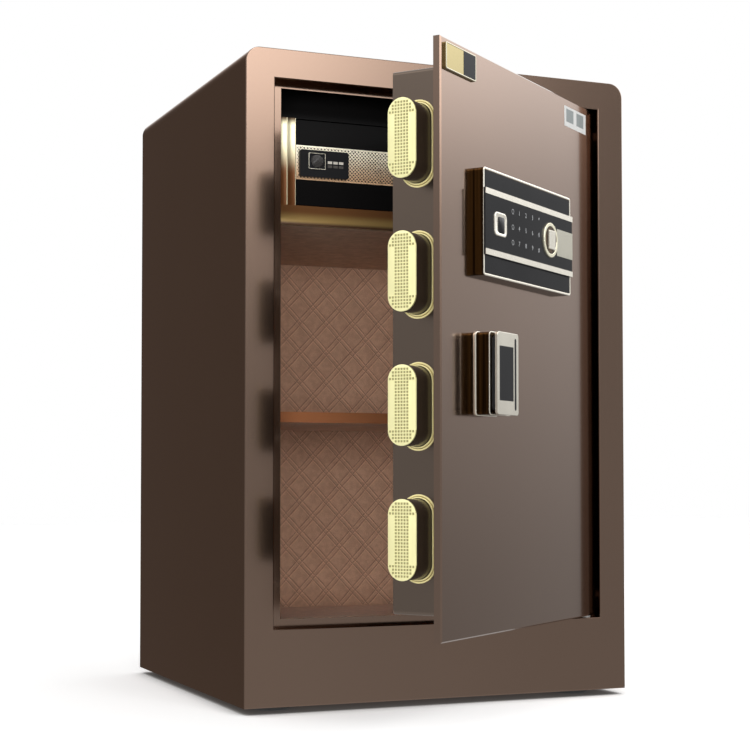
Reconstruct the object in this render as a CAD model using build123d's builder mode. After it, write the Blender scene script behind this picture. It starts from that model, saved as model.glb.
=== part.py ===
from build123d import *
from math import cos, radians, sin, sqrt
import os

# Home safe with a swung-open door, four oval locking bolts and an inner locker.
# Millimetres. The origin is on the floor under the middle of the cabinet, the front
# faces -Y and Z is up. Depths are counted from the cabinet's front face inwards.

os.makedirs("parts", exist_ok=True)

# Cabinet
body_width = 395
body_height = 600
body_depth = 362
corner_radius = 14
sheet = 3
foot_height = 6
foot_diameter = 34
foot_inset = 40
foot_lip = 1.2

# Door opening
stile = 28
top_rail = 27.5
bottom_rail = 70.5
rebate_depth = 16
lip_sheet = 2.5
lip_side = 11.5
lip_top = 5
lip_bottom = 7.5
edge_round = 1

# Wall anchors
anchor_spacing_x = 250
anchor_above_floor = 82.5
anchor_below_locker = 55
anchor_radius = 5.5
plug_radius = 13
plug_cap = 16
plug_cap_height = 2
plug_wall = 2
plug_fit = 0.1

# Linings
side_lining = 6
back_lining = 12
ceiling_lining = 6
lining_start = 20
mat_thickness = 5
mat_gap = 1
mat_corner = 6
deck_sheet = 2.5
deck_flange = 20
floor_height = 67.5

# Shelf and inner locker
furniture_depth = 64
shelf_height = 275
shelf_board = 8
shelf_gap = 0.5
trim_height = 10
trim_sheet = 2
trim_return = 8
shelf_pin_diameter = 6
shelf_pin_reach = 12
shelf_pin_depths = (120, 290)
locker_tall = 137
locker_sheet = 1.5
locker_front_sheet = 2
locker_post = 62.5
locker_width = 112
locker_rail = 19
locker_headroom = 34
locker_gap = 1
locker_hinge_gap = 2
locker_panel = 2.5
locker_axis_inset = 4
locker_axis_back = 4
locker_knuckle = 3
locker_knuckle_height = 10
locker_pin = 1.5
jamb_trim = 26
mullion_trim = 8
mesh_height = 34
mesh_thickness = 1.2
mesh_margin = 4
lock_inset = 2.7
lock_width = 50
lock_height = 26
lock_drop = 1
lock_corner = 2
lock_depth = 3.4
bezel_width = 17.2
bezel_height = 15.6
bezel_rim = 1.2
bezel_raise = 0.6
knob_inset = 17.3
knob_rise = 1.3
knob_radius = 6.2
knob_depth = 1
knob_bar_width = 3
knob_bar_depth = 0.8
knob_shaft = 2
key_columns = 3
key_rows = 2
key_width = 4.4
key_height = 2.4
key_pitch_x = 5.8
key_pitch_z = 3.8
key_depth = 0.6
keys_inset = 36.3
latch_bite = 8
latch_width = 8
latch_thickness = 2

# Door
door_angle = 37.6
gap_free = 4
gap_hinge = 5.5
gap_top = 1
gap_bottom = 2
plate_thickness = 7
plate_chamfer = 1.2
hinge_inset = 7
hinge_depth = 7
hinge_pin = 3.5
hinge_running = 0.05
hinge_bush = 5.5
bush_length = 16
pin_reach = 14
collar_radius = 5.3
collar_clear = 0.1
flange = 20
box_depth = 49
box_sheet = 2
box_corner = 3
cover_sheet = 1.5
cover_lip = 10
cover_screw = 2
cover_screw_head = 3.6
cover_screw_height = 1.4
dead_bar_depth = 12
dead_bar_start = 20
dead_bar_reach = 5
dead_bar_margin = 51.5

# Bolts and their bar
bolt_count = 4
bolt_pitch = 110.5
bolt_height = 67
bolt_width = 26
bolt_out = 30
bolt_in = 10
bolt_throw = 28
bolt_cap = 2
bolt_round = 1.2
bolt_clearance = 0.3
ring_width = 2.9
ring_step = 1.4
ring_thickness = 2.2
bar_sheet = 3
bar_width = 58
bar_margin = 3.5
post_radius = 4
post_shoulder = 6
post_head = 7
post_head_height = 2
slide_clearance = 0.3

# Handle and its crank
handle_from_free = 83.5
handle_drop = 26.2
handle_width = 42
handle_length = 70.5
handle_corner = 3
base_height = 14
neck_height = 5
neck_inset = 4
grip_height = 2.5
insert_width = 28
insert_length = 46.5
insert_offset = -3.5
insert_depth = 0.8
groove_width = 3
groove_offset = 14.5
spindle_radius = 5
spindle_running = 0.05
boss_radius = 6.5
boss_reach = 2
crank_sheet = 5
crank_gap = 0.5
crank_hub = 10
crank_end = 7
crank_pin = 3
crank_slot_play = 1.8
crank_slot_length = 22

# Solenoid
plunger_radius = 3
plunger_stroke = 7
plunger_clear = 1.5
plunger_length = 34
plunger_offset = 13
solenoid_width = 18
solenoid_depth = 20
solenoid_height = 32
tongue_height = 10
tongue_rise = 16.3
tongue_gap = 1
neck_gap = 0.5
plunger_tip = 0.6

# Electronics
battery_radius = 7.1
battery_length = 50
battery_count = 4
battery_wall = 1.6
battery_from_hinge = 78
battery_rise = 81.5
battery_deep = 18
battery_gap = 0.4
battery_post = 4
battery_post_inset = 6
hatch_gap = 0.5
hatch_overlap = 4
board_width = 70
board_height = 60
board_sheet = 1.6
board_gap = 1.5
board_standoff = 6
board_post = 2.5
board_post_inset = 5
chip_size = 14
chip_height = 3
plug_socket_width = 18
plug_socket_height = 9

# Touch panel
panel_width = 188.5
panel_height = 92.5
panel_thickness = 9
panel_from_free = 155.3
panel_drop = 146.1
panel_corner = 3
panel_rim = 2.2
glass_thickness = 1
band_height = 57
band_raise = 2
band_strip = 5
strip_raise = 0.6
finger_width = 24.5
finger_height = 20.5
finger_corner = 5
finger_rim = 2
finger_raise = 0.8
finger_offset = -65.3
ring_radius = 16
ring_inner = 12.6
ring_raise = 1.6
ring_offset = 41.5
tab_width = 37
tab_height = 25
tab_raise = 0.5
knob_turn_radius = 12
knob_turn_raise = 1.2
knob_grip_width = 14
knob_grip_height = 17.5
knob_grip_raise = 1.6
plug_shaft = 4
plug_reach = 10
plug_cam_sheet = 2.5
plug_cam_length = 14
cable_hole = 8

# Badge plate
badge_width = 56
badge_height = 22.5
badge_thickness = 2.2
badge_from_free = 5.5
badge_from_top = 4.45
badge_corner = 1.5
badge_bevel = 0.5

# Worked-out places
front_y = -body_depth / 2
back_y = body_depth / 2
body_bottom = foot_height
body_top = foot_height + body_height
body_mid = foot_height + body_height / 2
opening_width = body_width - 2 * stile
opening_bottom = body_bottom + bottom_rail
opening_top = body_top - top_rail
opening_height = opening_top - opening_bottom
opening_mid = (opening_bottom + opening_top) / 2
room_half = body_width / 2 - sheet - side_lining
room_back = body_depth - sheet - back_lining
room_top = body_top - sheet - ceiling_lining

hinge_x = opening_width / 2 - gap_hinge - hinge_inset
door_width = opening_width - gap_free - gap_hinge
door_bottom = opening_bottom + gap_bottom
door_top = opening_top - gap_top
door_height = door_top - door_bottom
door_mid = (door_bottom + door_top) / 2
free_edge = hinge_inset - door_width
box_free = free_edge + flange
box_hinge = hinge_inset - flange
box_mid_x = (box_free + box_hinge) / 2
box_width = box_hinge - box_free
box_height = door_height - 2 * flange
box_back = plate_thickness + box_depth
cover_front = box_back - cover_sheet
bolt_depth = plate_thickness + box_depth / 2
bolt_heights = [door_mid + (i - (bolt_count - 1) / 2) * bolt_pitch for i in range(bolt_count)]
bar_back = bolt_depth - bolt_width / 2
bar_front = bar_back - bar_sheet
bar_left = box_free + bar_margin
bar_right = bar_left + bar_width
handle_x = free_edge + handle_from_free
handle_height = door_mid - handle_drop
crank_radius = bolt_throw / sqrt(2)
crank_arm = bolt_throw / 2
crank_back = bar_front - crank_gap
panel_x = free_edge + panel_from_free
panel_centre = door_top - panel_drop
knob_turn_x = panel_x + ring_offset
finger_x = panel_x + finger_offset
badge_x = free_edge + badge_from_free + badge_width / 2
badge_centre = door_top - badge_from_top - badge_height / 2
plunger_x = handle_x + plunger_offset
lining_high = body_top - corner_radius
locker_top = lining_high
locker_bottom = locker_top - locker_tall
locker_sill = locker_bottom + locker_rail
anchor_low = floor_height + anchor_above_floor
anchor_high = locker_bottom - anchor_below_locker
anchor_spacing_z = anchor_high - anchor_low
anchor_height = (anchor_high + anchor_low) / 2
locker_head = locker_top - locker_headroom
locker_left = locker_post - room_half
locker_right = locker_left + locker_width
locker_axis_x = locker_right - locker_hinge_gap - locker_axis_inset
locker_front = furniture_depth + trim_sheet
locker_axis_depth = locker_front + locker_axis_back


# Drawing planes
def front_plane(depth):
    """Plane facing the viewer, at a depth behind the cabinet's front face."""
    return Plane.XZ.offset(-(front_y + depth))


def level_plane(height):
    """Horizontal plane at a height above the floor."""
    return Plane.XY.offset(height)


swing = radians(door_angle)
door_along = (cos(swing), sin(swing), 0)
door_out = (sin(swing), -cos(swing), 0)
hinge_point = (hinge_x, front_y + hinge_depth, 0)


def door_plane(depth):
    """Plane parallel to the door's outer face, at a depth behind it.

    Its x runs from the hinge axis, negative towards the free edge, and its y is height.
    """
    return Plane(origin=hinge_point, x_dir=door_along, z_dir=door_out).offset(hinge_depth - depth)


def door_side_plane(x):
    """Plane across the door at x, facing the free edge; its x is minus the depth."""
    towards_free = (-door_along[0], -door_along[1], 0)
    across = Plane(origin=hinge_point, x_dir=door_out, z_dir=towards_free).offset(-x)
    return across.shift_origin(across.from_local_coords((hinge_depth, 0, 0)))


def door_level_plane(height):
    """Horizontal plane in the door; its x runs along the door, its y is depth past the axis."""
    return Plane(origin=(hinge_point[0], hinge_point[1], height), x_dir=door_along, z_dir=(0, 0, 1))


def save(piece, name):
    """Label a finished piece and write its file."""
    piece.part.label = name
    export_step(piece.part, f"parts/{name}.step")


def body_outline(inset):
    """Front outline of the cabinet with its two rounded top corners, inset all round."""
    with BuildSketch() as outline:
        with Locations((0, body_mid)):
            Rectangle(body_width - 2 * inset, body_height - 2 * inset)
        fillet(outline.vertices().group_by(Axis.Y)[-1], corner_radius - inset)
    return outline.sketch


# Cabinet: outer shell, folded from one sheet round the four sides
with BuildPart() as outer_shell:
    with BuildSketch(front_plane(sheet)):
        add(body_outline(0))
        add(body_outline(sheet), mode=Mode.SUBTRACT)
    extrude(amount=-(body_depth - sheet))
save(outer_shell, "outer_shell")

# Cabinet: back panel with its wall anchor holes
with BuildPart() as back_panel:
    with BuildSketch(front_plane(body_depth - sheet)):
        add(body_outline(sheet))
        with Locations((0, anchor_height)):
            with GridLocations(anchor_spacing_x, anchor_spacing_z, 2, 2):
                Circle(anchor_radius, mode=Mode.SUBTRACT)
    extrude(amount=-sheet)
save(back_panel, "back_panel")

# Cabinet: front frame with the door rebate, its inner lip and the hinge pin holes
lip_left = -opening_width / 2 + lip_side
lip_right = opening_width / 2 - lip_side
lip_low = opening_bottom + lip_bottom
lip_high = opening_top - lip_top
with BuildPart() as front_frame:
    with BuildSketch(front_plane(0)):
        add(body_outline(0))
        with Locations((0, opening_mid)):
            Rectangle(opening_width, opening_height, mode=Mode.SUBTRACT)
    extrude(amount=-sheet)
    front_rims = front_frame.faces().sort_by(Axis.Y)[0].edges()
    fillet(front_rims, edge_round)
    with BuildSketch(front_plane(sheet)):
        with Locations((0, opening_mid)):
            Rectangle(opening_width + 2 * sheet, opening_height + 2 * sheet)
            Rectangle(opening_width, opening_height, mode=Mode.SUBTRACT)
    extrude(amount=-(rebate_depth + lip_sheet - sheet))
    with BuildSketch(front_plane(rebate_depth)):
        with Locations((0, opening_mid)):
            Rectangle(opening_width, opening_height)
        with Locations(((lip_left + lip_right) / 2, (lip_low + lip_high) / 2)):
            Rectangle(lip_right - lip_left, lip_high - lip_low, mode=Mode.SUBTRACT)
    extrude(amount=-lip_sheet)
    for height in (opening_bottom - sheet, opening_top):
        with BuildSketch(level_plane(height)):
            with Locations(hinge_point[:2]):
                Circle(hinge_pin)
        extrude(amount=sheet, mode=Mode.SUBTRACT)
save(front_frame, "front_frame")

# Cabinet: raised floor deck with a folded flange on each side
deck_half = body_width / 2 - sheet
deck_top = floor_height - mat_thickness
deck_length = room_back - lining_start
with BuildPart() as floor_deck:
    with BuildSketch(front_plane(lining_start)):
        with Locations((0, deck_top - deck_sheet / 2)):
            Rectangle(2 * deck_half, deck_sheet)
        for side in (-1, 1):
            with Locations((side * (deck_half - deck_sheet / 2), deck_top - deck_flange / 2)):
                Rectangle(deck_sheet, deck_flange)
    extrude(amount=-(body_depth - sheet - lining_start))
save(floor_deck, "floor_deck")

# Cabinet: four rubber feet, slightly tapered
with BuildPart() as feet:
    with BuildSketch(level_plane(0)):
        with GridLocations(body_width - 2 * foot_inset, body_depth - 2 * foot_inset, 2, 2):
            Circle(foot_diameter / 2)
    extrude(amount=foot_height)
    chamfer(feet.edges().group_by(Axis.Z)[0], foot_lip)
save(feet, "rubber_feet")

# Lining boards inside the cabinet
lining_low = deck_top
for side, name in ((-1, "lining_left"), (1, "lining_right")):
    with BuildPart() as lining:
        with BuildSketch(front_plane(lining_start)):
            with Locations((side * (room_half + side_lining / 2), (lining_low + lining_high) / 2)):
                Rectangle(side_lining, lining_high - lining_low)
        extrude(amount=-(room_back - lining_start))
    save(lining, name)

with BuildPart() as lining_back:
    with BuildSketch(front_plane(room_back)):
        with Locations((0, (lining_low + lining_high) / 2)):
            Rectangle(2 * deck_half, lining_high - lining_low)
        with Locations((0, anchor_height)):
            with GridLocations(anchor_spacing_x, anchor_spacing_z, 2, 2):
                Circle(plug_radius, mode=Mode.SUBTRACT)
    extrude(amount=-back_lining)
save(lining_back, "lining_back")

with BuildPart() as lining_top:
    with BuildSketch(front_plane(lining_start)):
        with Locations((0, room_top + ceiling_lining / 2)):
            Rectangle(2 * (body_width / 2 - corner_radius), ceiling_lining)
    extrude(amount=-(room_back - lining_start))
save(lining_top, "lining_top")

with BuildPart() as floor_mat:
    with BuildSketch(level_plane(deck_top)):
        with Locations((0, front_y + (lining_start + room_back) / 2)):
            RectangleRounded(2 * (room_half - mat_gap), room_back - lining_start - 2 * mat_gap, mat_corner)
    extrude(amount=mat_thickness)
save(floor_mat, "floor_mat")

# Rubber plugs over the wall anchor holes, hollow behind their caps
with BuildPart() as anchor_plugs:
    with BuildSketch(front_plane(room_back)):
        with Locations((0, anchor_height)):
            with GridLocations(anchor_spacing_x, anchor_spacing_z, 2, 2):
                Circle(plug_cap)
    extrude(amount=plug_cap_height)
    with BuildSketch(front_plane(room_back)):
        with Locations((0, anchor_height)):
            with GridLocations(anchor_spacing_x, anchor_spacing_z, 2, 2):
                Circle(plug_radius - plug_fit)
                Circle(plug_radius - plug_fit - plug_wall, mode=Mode.SUBTRACT)
    extrude(amount=-back_lining)
save(anchor_plugs, "anchor_plugs")

# Shelf: padded board, its metal front trim and the four pins that carry it
shelf_low = shelf_height - shelf_board
shelf_front = furniture_depth + trim_sheet
shelf_half = room_half - shelf_gap
with BuildPart() as shelf_board_part:
    with BuildSketch(level_plane(shelf_low)):
        with Locations((0, front_y + (shelf_front + room_back - shelf_gap) / 2)):
            Rectangle(2 * shelf_half, room_back - shelf_gap - shelf_front)
    extrude(amount=shelf_board)
save(shelf_board_part, "shelf_board")

trim_low = shelf_height - shelf_board / 2 - trim_height / 2
with BuildPart() as shelf_trim:
    with BuildSketch(front_plane(furniture_depth)):
        with Locations((0, trim_low + trim_height / 2)):
            Rectangle(2 * shelf_half, trim_height)
    extrude(amount=-trim_sheet)
    for low in (trim_low, shelf_height):
        with BuildSketch(level_plane(low)):
            with Locations((0, front_y + shelf_front + trim_return / 2)):
                Rectangle(2 * shelf_half, trim_return)
        extrude(amount=shelf_low - trim_low)
save(shelf_trim, "shelf_trim")

with BuildPart() as shelf_pins:
    for side in (-1, 1):
        with BuildSketch(Plane.YZ.offset(side * room_half)):
            for depth in shelf_pin_depths:
                with Locations((front_y + depth, shelf_low - shelf_pin_diameter / 2)):
                    Circle(shelf_pin_diameter / 2)
        extrude(amount=-side * shelf_pin_reach)
save(shelf_pins, "shelf_pins")

# Inner locker: sheet housing with a partition beside the door
housing_front = locker_front + locker_front_sheet
housing_back = room_back - shelf_gap
mesh_centre = (locker_sill + locker_head) / 2
partition_x = locker_right + mullion_trim / 2
with BuildPart() as locker_housing:
    with BuildSketch(front_plane(housing_front)):
        with Locations((0, (locker_bottom + locker_top) / 2)):
            Rectangle(2 * room_half, locker_tall)
            Rectangle(2 * (room_half - locker_sheet), locker_tall - 2 * locker_sheet, mode=Mode.SUBTRACT)
        with Locations((partition_x, (locker_bottom + locker_top) / 2)):
            Rectangle(locker_sheet, locker_tall)
    extrude(amount=-(housing_back - housing_front))
    with BuildSketch(front_plane(housing_back - locker_sheet)):
        with Locations((0, (locker_bottom + locker_top) / 2)):
            Rectangle(2 * room_half, locker_tall)
    extrude(amount=-locker_sheet)
save(locker_housing, "locker_housing")

with BuildPart() as locker_front_plate:
    with BuildSketch(front_plane(locker_front)):
        with Locations((0, (locker_bottom + locker_top) / 2)):
            Rectangle(2 * room_half, locker_tall)
        with Locations(((locker_left + locker_right) / 2, (locker_sill + locker_head) / 2)):
            Rectangle(locker_width, locker_head - locker_sill, mode=Mode.SUBTRACT)
    extrude(amount=-locker_front_sheet)
save(locker_front_plate, "locker_front")

with BuildPart() as locker_trim:
    with BuildSketch(front_plane(locker_front)):
        with Locations((0, (locker_bottom + locker_sill) / 2)):
            Rectangle(2 * room_half, locker_sill - locker_bottom)
        for left, width in ((locker_left - jamb_trim, jamb_trim), (locker_right, mullion_trim)):
            with Locations((left + width / 2, (locker_sill + locker_head) / 2)):
                Rectangle(width, locker_head - locker_sill)
    extrude(amount=trim_sheet)
save(locker_trim, "locker_trim")

fixed_mesh_left = locker_right + mullion_trim
with BuildPart() as locker_fixed_mesh:
    with BuildSketch(front_plane(locker_front)):
        with Locations(((fixed_mesh_left + room_half) / 2, mesh_centre)):
            Rectangle(room_half - fixed_mesh_left, mesh_height)
    extrude(amount=mesh_thickness)
save(locker_fixed_mesh, "locker_fixed_mesh")

# Inner locker: hinge lugs with their pins, behind the front plate
locker_axis = (locker_axis_x, front_y + locker_axis_depth)
panel_low = locker_sill + locker_gap
panel_high = locker_head - locker_gap
with BuildPart() as locker_hinge_pins:
    for edge, inward in ((panel_low, 1), (panel_high, -1)):
        with BuildSketch(level_plane(edge - inward * locker_gap)):
            with Locations((locker_axis_x, front_y + housing_front + locker_knuckle)):
                Rectangle(2 * locker_knuckle, 2 * locker_knuckle)
        extrude(amount=-inward * locker_knuckle)
        with BuildSketch(level_plane(edge - inward * locker_gap)):
            with Locations(locker_axis):
                Circle(locker_pin)
        extrude(amount=inward * (locker_knuckle_height + locker_gap))
save(locker_hinge_pins, "locker_hinge_pins")

# Inner locker door: panel with two knuckles round the pins
panel_left = locker_left + locker_gap
panel_right = locker_right - locker_hinge_gap
knob_x = panel_left + lock_inset + knob_inset
knob_z = mesh_centre + knob_rise
with BuildPart() as locker_door:
    with BuildSketch(front_plane(locker_front)):
        with Locations(((panel_left + panel_right) / 2, (panel_low + panel_high) / 2)):
            Rectangle(panel_right - panel_left, panel_high - panel_low)
        with Locations((knob_x, knob_z)):
            Circle(knob_shaft + slide_clearance, mode=Mode.SUBTRACT)
    extrude(amount=-locker_panel)
    for edge, inward in ((panel_low, 1), (panel_high, -1)):
        with BuildSketch(level_plane(edge)):
            with Locations(locker_axis):
                Circle(locker_knuckle)
        extrude(amount=inward * locker_knuckle_height)
    for edge, inward in ((panel_low, 1), (panel_high, -1)):
        with BuildSketch(level_plane(edge)):
            with Locations(locker_axis):
                Circle(locker_pin + hinge_running)
        extrude(amount=inward * (locker_knuckle_height + locker_gap), mode=Mode.SUBTRACT)
save(locker_door, "locker_door")

mesh_right = panel_right - mesh_margin
with BuildPart() as locker_door_mesh:
    with BuildSketch(front_plane(locker_front)):
        with Locations(((panel_left + mesh_right) / 2, mesh_centre)):
            Rectangle(mesh_right - panel_left, mesh_height)
        with Locations((knob_x, knob_z)):
            Circle(knob_shaft + slide_clearance, mode=Mode.SUBTRACT)
    extrude(amount=mesh_thickness)
save(locker_door_mesh, "locker_door_mesh")

# Inner locker: lock unit with a square bezel round its knob, and its small keys
mesh_front = locker_front - mesh_thickness
lock_front = mesh_front - lock_depth
lock_left = panel_left + lock_inset
lock_z = mesh_centre - lock_drop
with BuildPart() as locker_lock:
    with BuildSketch(front_plane(mesh_front)):
        with Locations((lock_left + lock_width / 2, lock_z)):
            RectangleRounded(lock_width, lock_height, lock_corner)
    extrude(amount=lock_depth)
    with BuildSketch(front_plane(lock_front)):
        with Locations((knob_x, knob_z)):
            Rectangle(bezel_width, bezel_height)
            Rectangle(bezel_width - 2 * bezel_rim, bezel_height - 2 * bezel_rim, mode=Mode.SUBTRACT)
    extrude(amount=bezel_raise)
    with BuildSketch(front_plane(mesh_front)):
        with Locations((knob_x, knob_z)):
            Circle(knob_shaft + slide_clearance)
    extrude(amount=lock_depth, mode=Mode.SUBTRACT)
save(locker_lock, "locker_lock")

with BuildPart() as locker_keys:
    with BuildSketch(front_plane(lock_front)):
        with Locations((lock_left + keys_inset, lock_z)):
            with GridLocations(key_pitch_x, key_pitch_z, key_columns, key_rows):
                Rectangle(key_width, key_height)
    extrude(amount=key_depth)
save(locker_keys, "locker_keys")

# Inner locker: turning knob and the latch lever behind the panel
latch_front = locker_front + locker_panel + slide_clearance
latch_length = knob_x - locker_left + latch_bite - latch_width / 2
with BuildPart() as locker_knob:
    with BuildSketch(front_plane(lock_front)):
        with Locations((knob_x, knob_z)):
            Circle(knob_radius)
    extrude(amount=knob_depth)
    with BuildSketch(front_plane(lock_front - knob_depth)):
        with Locations((knob_x, knob_z)):
            Rectangle(2 * knob_radius - knob_bar_width, knob_bar_width, rotation=45)
    extrude(amount=knob_bar_depth)
    with BuildSketch(front_plane(lock_front)):
        with Locations((knob_x, knob_z)):
            Circle(knob_shaft)
    extrude(amount=-(latch_front + latch_thickness - lock_front))
save(locker_knob, "locker_knob")

with BuildPart() as locker_latch:
    with BuildSketch(front_plane(latch_front)):
        with Locations((knob_x, knob_z - latch_length / 2)):
            SlotCenterToCenter(latch_length, latch_width, rotation=90)
        with Locations((knob_x, knob_z)):
            Circle(knob_shaft, mode=Mode.SUBTRACT)
    extrude(amount=-latch_thickness)
save(locker_latch, "locker_latch")

# Main hinge: pins in the frame, the lower one with a collar that carries the door
with BuildPart() as hinge_pins:
    with BuildSketch(level_plane(opening_bottom - sheet)):
        with Locations(hinge_point[:2]):
            Circle(hinge_pin)
    extrude(amount=sheet + gap_bottom + pin_reach)
    with BuildSketch(level_plane(opening_bottom)):
        with Locations(hinge_point[:2]):
            Circle(collar_radius)
    extrude(amount=gap_bottom - collar_clear)
    with BuildSketch(level_plane(door_top - pin_reach)):
        with Locations(hinge_point[:2]):
            Circle(hinge_pin)
    extrude(amount=pin_reach + gap_top + sheet)
save(hinge_pins, "hinge_pins")


# Door: outer plate
def door_rectangle(left, right, low, high, mode=Mode.ADD):
    """Rectangle between two x places and two heights on a door plane."""
    with Locations(((left + right) / 2, (low + high) / 2)):
        Rectangle(right - left, high - low, mode=mode)


with BuildPart() as door_plate:
    with BuildSketch(door_plane(0)):
        door_rectangle(free_edge, hinge_inset, door_bottom, door_top)
    extrude(amount=-plate_thickness)
    chamfer(door_plate.faces().sort_by(Axis(hinge_point, door_out))[-1].edges(), plate_chamfer)
    with BuildSketch(door_plane(0)):
        with Locations((handle_x, handle_height)):
            Circle(boss_radius)
        with Locations((knob_turn_x, panel_centre)):
            Circle(plug_shaft + slide_clearance)
        with Locations((panel_x, panel_centre)):
            Circle(cable_hole)
    extrude(amount=-plate_thickness, mode=Mode.SUBTRACT)
    for height in (door_bottom, door_top - bush_length):
        with BuildSketch(door_level_plane(height)):
            Circle(hinge_bush)
        extrude(amount=bush_length, mode=Mode.SUBTRACT)
save(door_plate, "door_plate")

with BuildPart() as hinge_bushes:
    for height in (door_bottom, door_top - bush_length):
        with BuildSketch(door_level_plane(height)):
            Circle(hinge_bush)
            Circle(hinge_pin + hinge_running, mode=Mode.SUBTRACT)
        extrude(amount=bush_length)
save(hinge_bushes, "hinge_bushes")

# Door: bolt box behind the plate, with a lip for its cover
box_low = door_mid - box_height / 2
box_high = door_mid + box_height / 2
screw_inset = box_sheet + cover_lip / 2
screw_xs = (box_free + screw_inset, box_mid_x, box_hinge - screw_inset)
screw_zs = [box_low + screw_inset + i * (box_height - 2 * screw_inset) / 3 for i in range(4)]
screw_spots = [(x, z) for x in screw_xs for z in screw_zs if x != box_mid_x or z in (screw_zs[0], screw_zs[-1])]


def bolt_slot(clearance):
    """Oval bolt section and its clearance at each bolt height, on a door side plane."""
    with Locations(*[(-bolt_depth, height) for height in bolt_heights]):
        SlotOverall(bolt_height + 2 * clearance, bolt_width + 2 * clearance, rotation=90)


with BuildPart() as door_box:
    with BuildSketch(door_plane(plate_thickness)):
        with Locations((box_mid_x, door_mid)):
            RectangleRounded(box_width, box_height, box_corner)
            Rectangle(box_width - 2 * box_sheet, box_height - 2 * box_sheet, mode=Mode.SUBTRACT)
    extrude(amount=-(cover_front - plate_thickness))
    with BuildSketch(door_plane(cover_front - box_sheet)):
        with Locations((box_mid_x, door_mid)):
            Rectangle(box_width - box_sheet, box_height - box_sheet)
            Rectangle(box_width - 2 * (box_sheet + cover_lip), box_height - 2 * (box_sheet + cover_lip),
                      mode=Mode.SUBTRACT)
        with Locations(*screw_spots):
            Circle(cover_screw, mode=Mode.SUBTRACT)
    extrude(amount=-box_sheet)
    with BuildSketch(door_side_plane(box_free)):
        bolt_slot(bolt_clearance)
    extrude(amount=-box_sheet, mode=Mode.SUBTRACT)
save(door_box, "door_box")

# Door: battery hatch opening, cover and screws
hatch_x = hinge_inset - battery_from_hinge
hatch_width = battery_count * (2 * battery_radius + battery_gap) + 2 * battery_wall
hatch_height = battery_length + 2 * battery_wall
hatch_z = box_low + battery_rise
with BuildPart() as back_cover:
    with BuildSketch(door_plane(cover_front)):
        with Locations((box_mid_x, door_mid)):
            RectangleRounded(box_width, box_height, box_corner)
        with Locations((hatch_x, hatch_z)):
            Rectangle(hatch_width, hatch_height, mode=Mode.SUBTRACT)
        with Locations(*screw_spots):
            Circle(cover_screw, mode=Mode.SUBTRACT)
    extrude(amount=-cover_sheet)
save(back_cover, "back_cover")

with BuildPart() as cover_screws:
    with BuildSketch(door_plane(box_back)):
        with Locations(*screw_spots):
            Circle(cover_screw_head)
    extrude(amount=-cover_screw_height)
    with BuildSketch(door_plane(box_back)):
        with Locations(*screw_spots):
            Circle(cover_screw)
    extrude(amount=box_sheet + cover_sheet)
save(cover_screws, "cover_screws")

# Door: fixed bar that hooks behind the frame on the hinge side
with BuildPart() as dead_bar:
    with BuildSketch(door_level_plane(box_low + dead_bar_margin)):
        with Locations(((box_hinge + dead_bar_reach) / 2, dead_bar_start + dead_bar_depth / 2 - hinge_depth)):
            Rectangle(dead_bar_reach - box_hinge, dead_bar_depth)
    extrude(amount=box_height - 2 * dead_bar_margin)
    reach_edges = dead_bar.edges().filter_by(Axis.Z).sort_by(Axis(hinge_point, door_along))[-2:]
    chamfer(reach_edges, plate_chamfer)
save(dead_bar, "dead_bar")

# Door: stepped rings round the bolt holes
with BuildPart() as bolt_rings:
    with BuildSketch(door_side_plane(box_free)):
        bolt_slot(bolt_clearance + ring_width)
    extrude(amount=ring_thickness - ring_step / 2)
    with BuildSketch(door_side_plane(box_free)):
        bolt_slot(bolt_clearance + ring_width - ring_step)
    extrude(amount=ring_thickness)
    with BuildSketch(door_side_plane(box_free)):
        bolt_slot(bolt_clearance)
    extrude(amount=ring_thickness, mode=Mode.SUBTRACT)
save(bolt_rings, "bolt_rings")

# Bolts: oval shafts on their bar, with patterned end caps
with BuildPart() as bolt_shafts:
    with BuildSketch(door_side_plane(box_free + bolt_in)):
        bolt_slot(0)
    extrude(amount=bolt_in + bolt_out - bolt_cap)
save(bolt_shafts, "bolt_shafts")

with BuildPart() as bolt_caps:
    with BuildSketch(door_side_plane(box_free - bolt_out + bolt_cap)):
        bolt_slot(0)
    extrude(amount=bolt_cap)
    cap_ends = bolt_caps.faces().filter_by(Plane(origin=(0, 0, 0), z_dir=door_along))
    fillet(cap_ends.sort_by(Axis(hinge_point, door_along))[:bolt_count].edges(), bolt_round)
save(bolt_caps, "bolt_caps")

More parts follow.
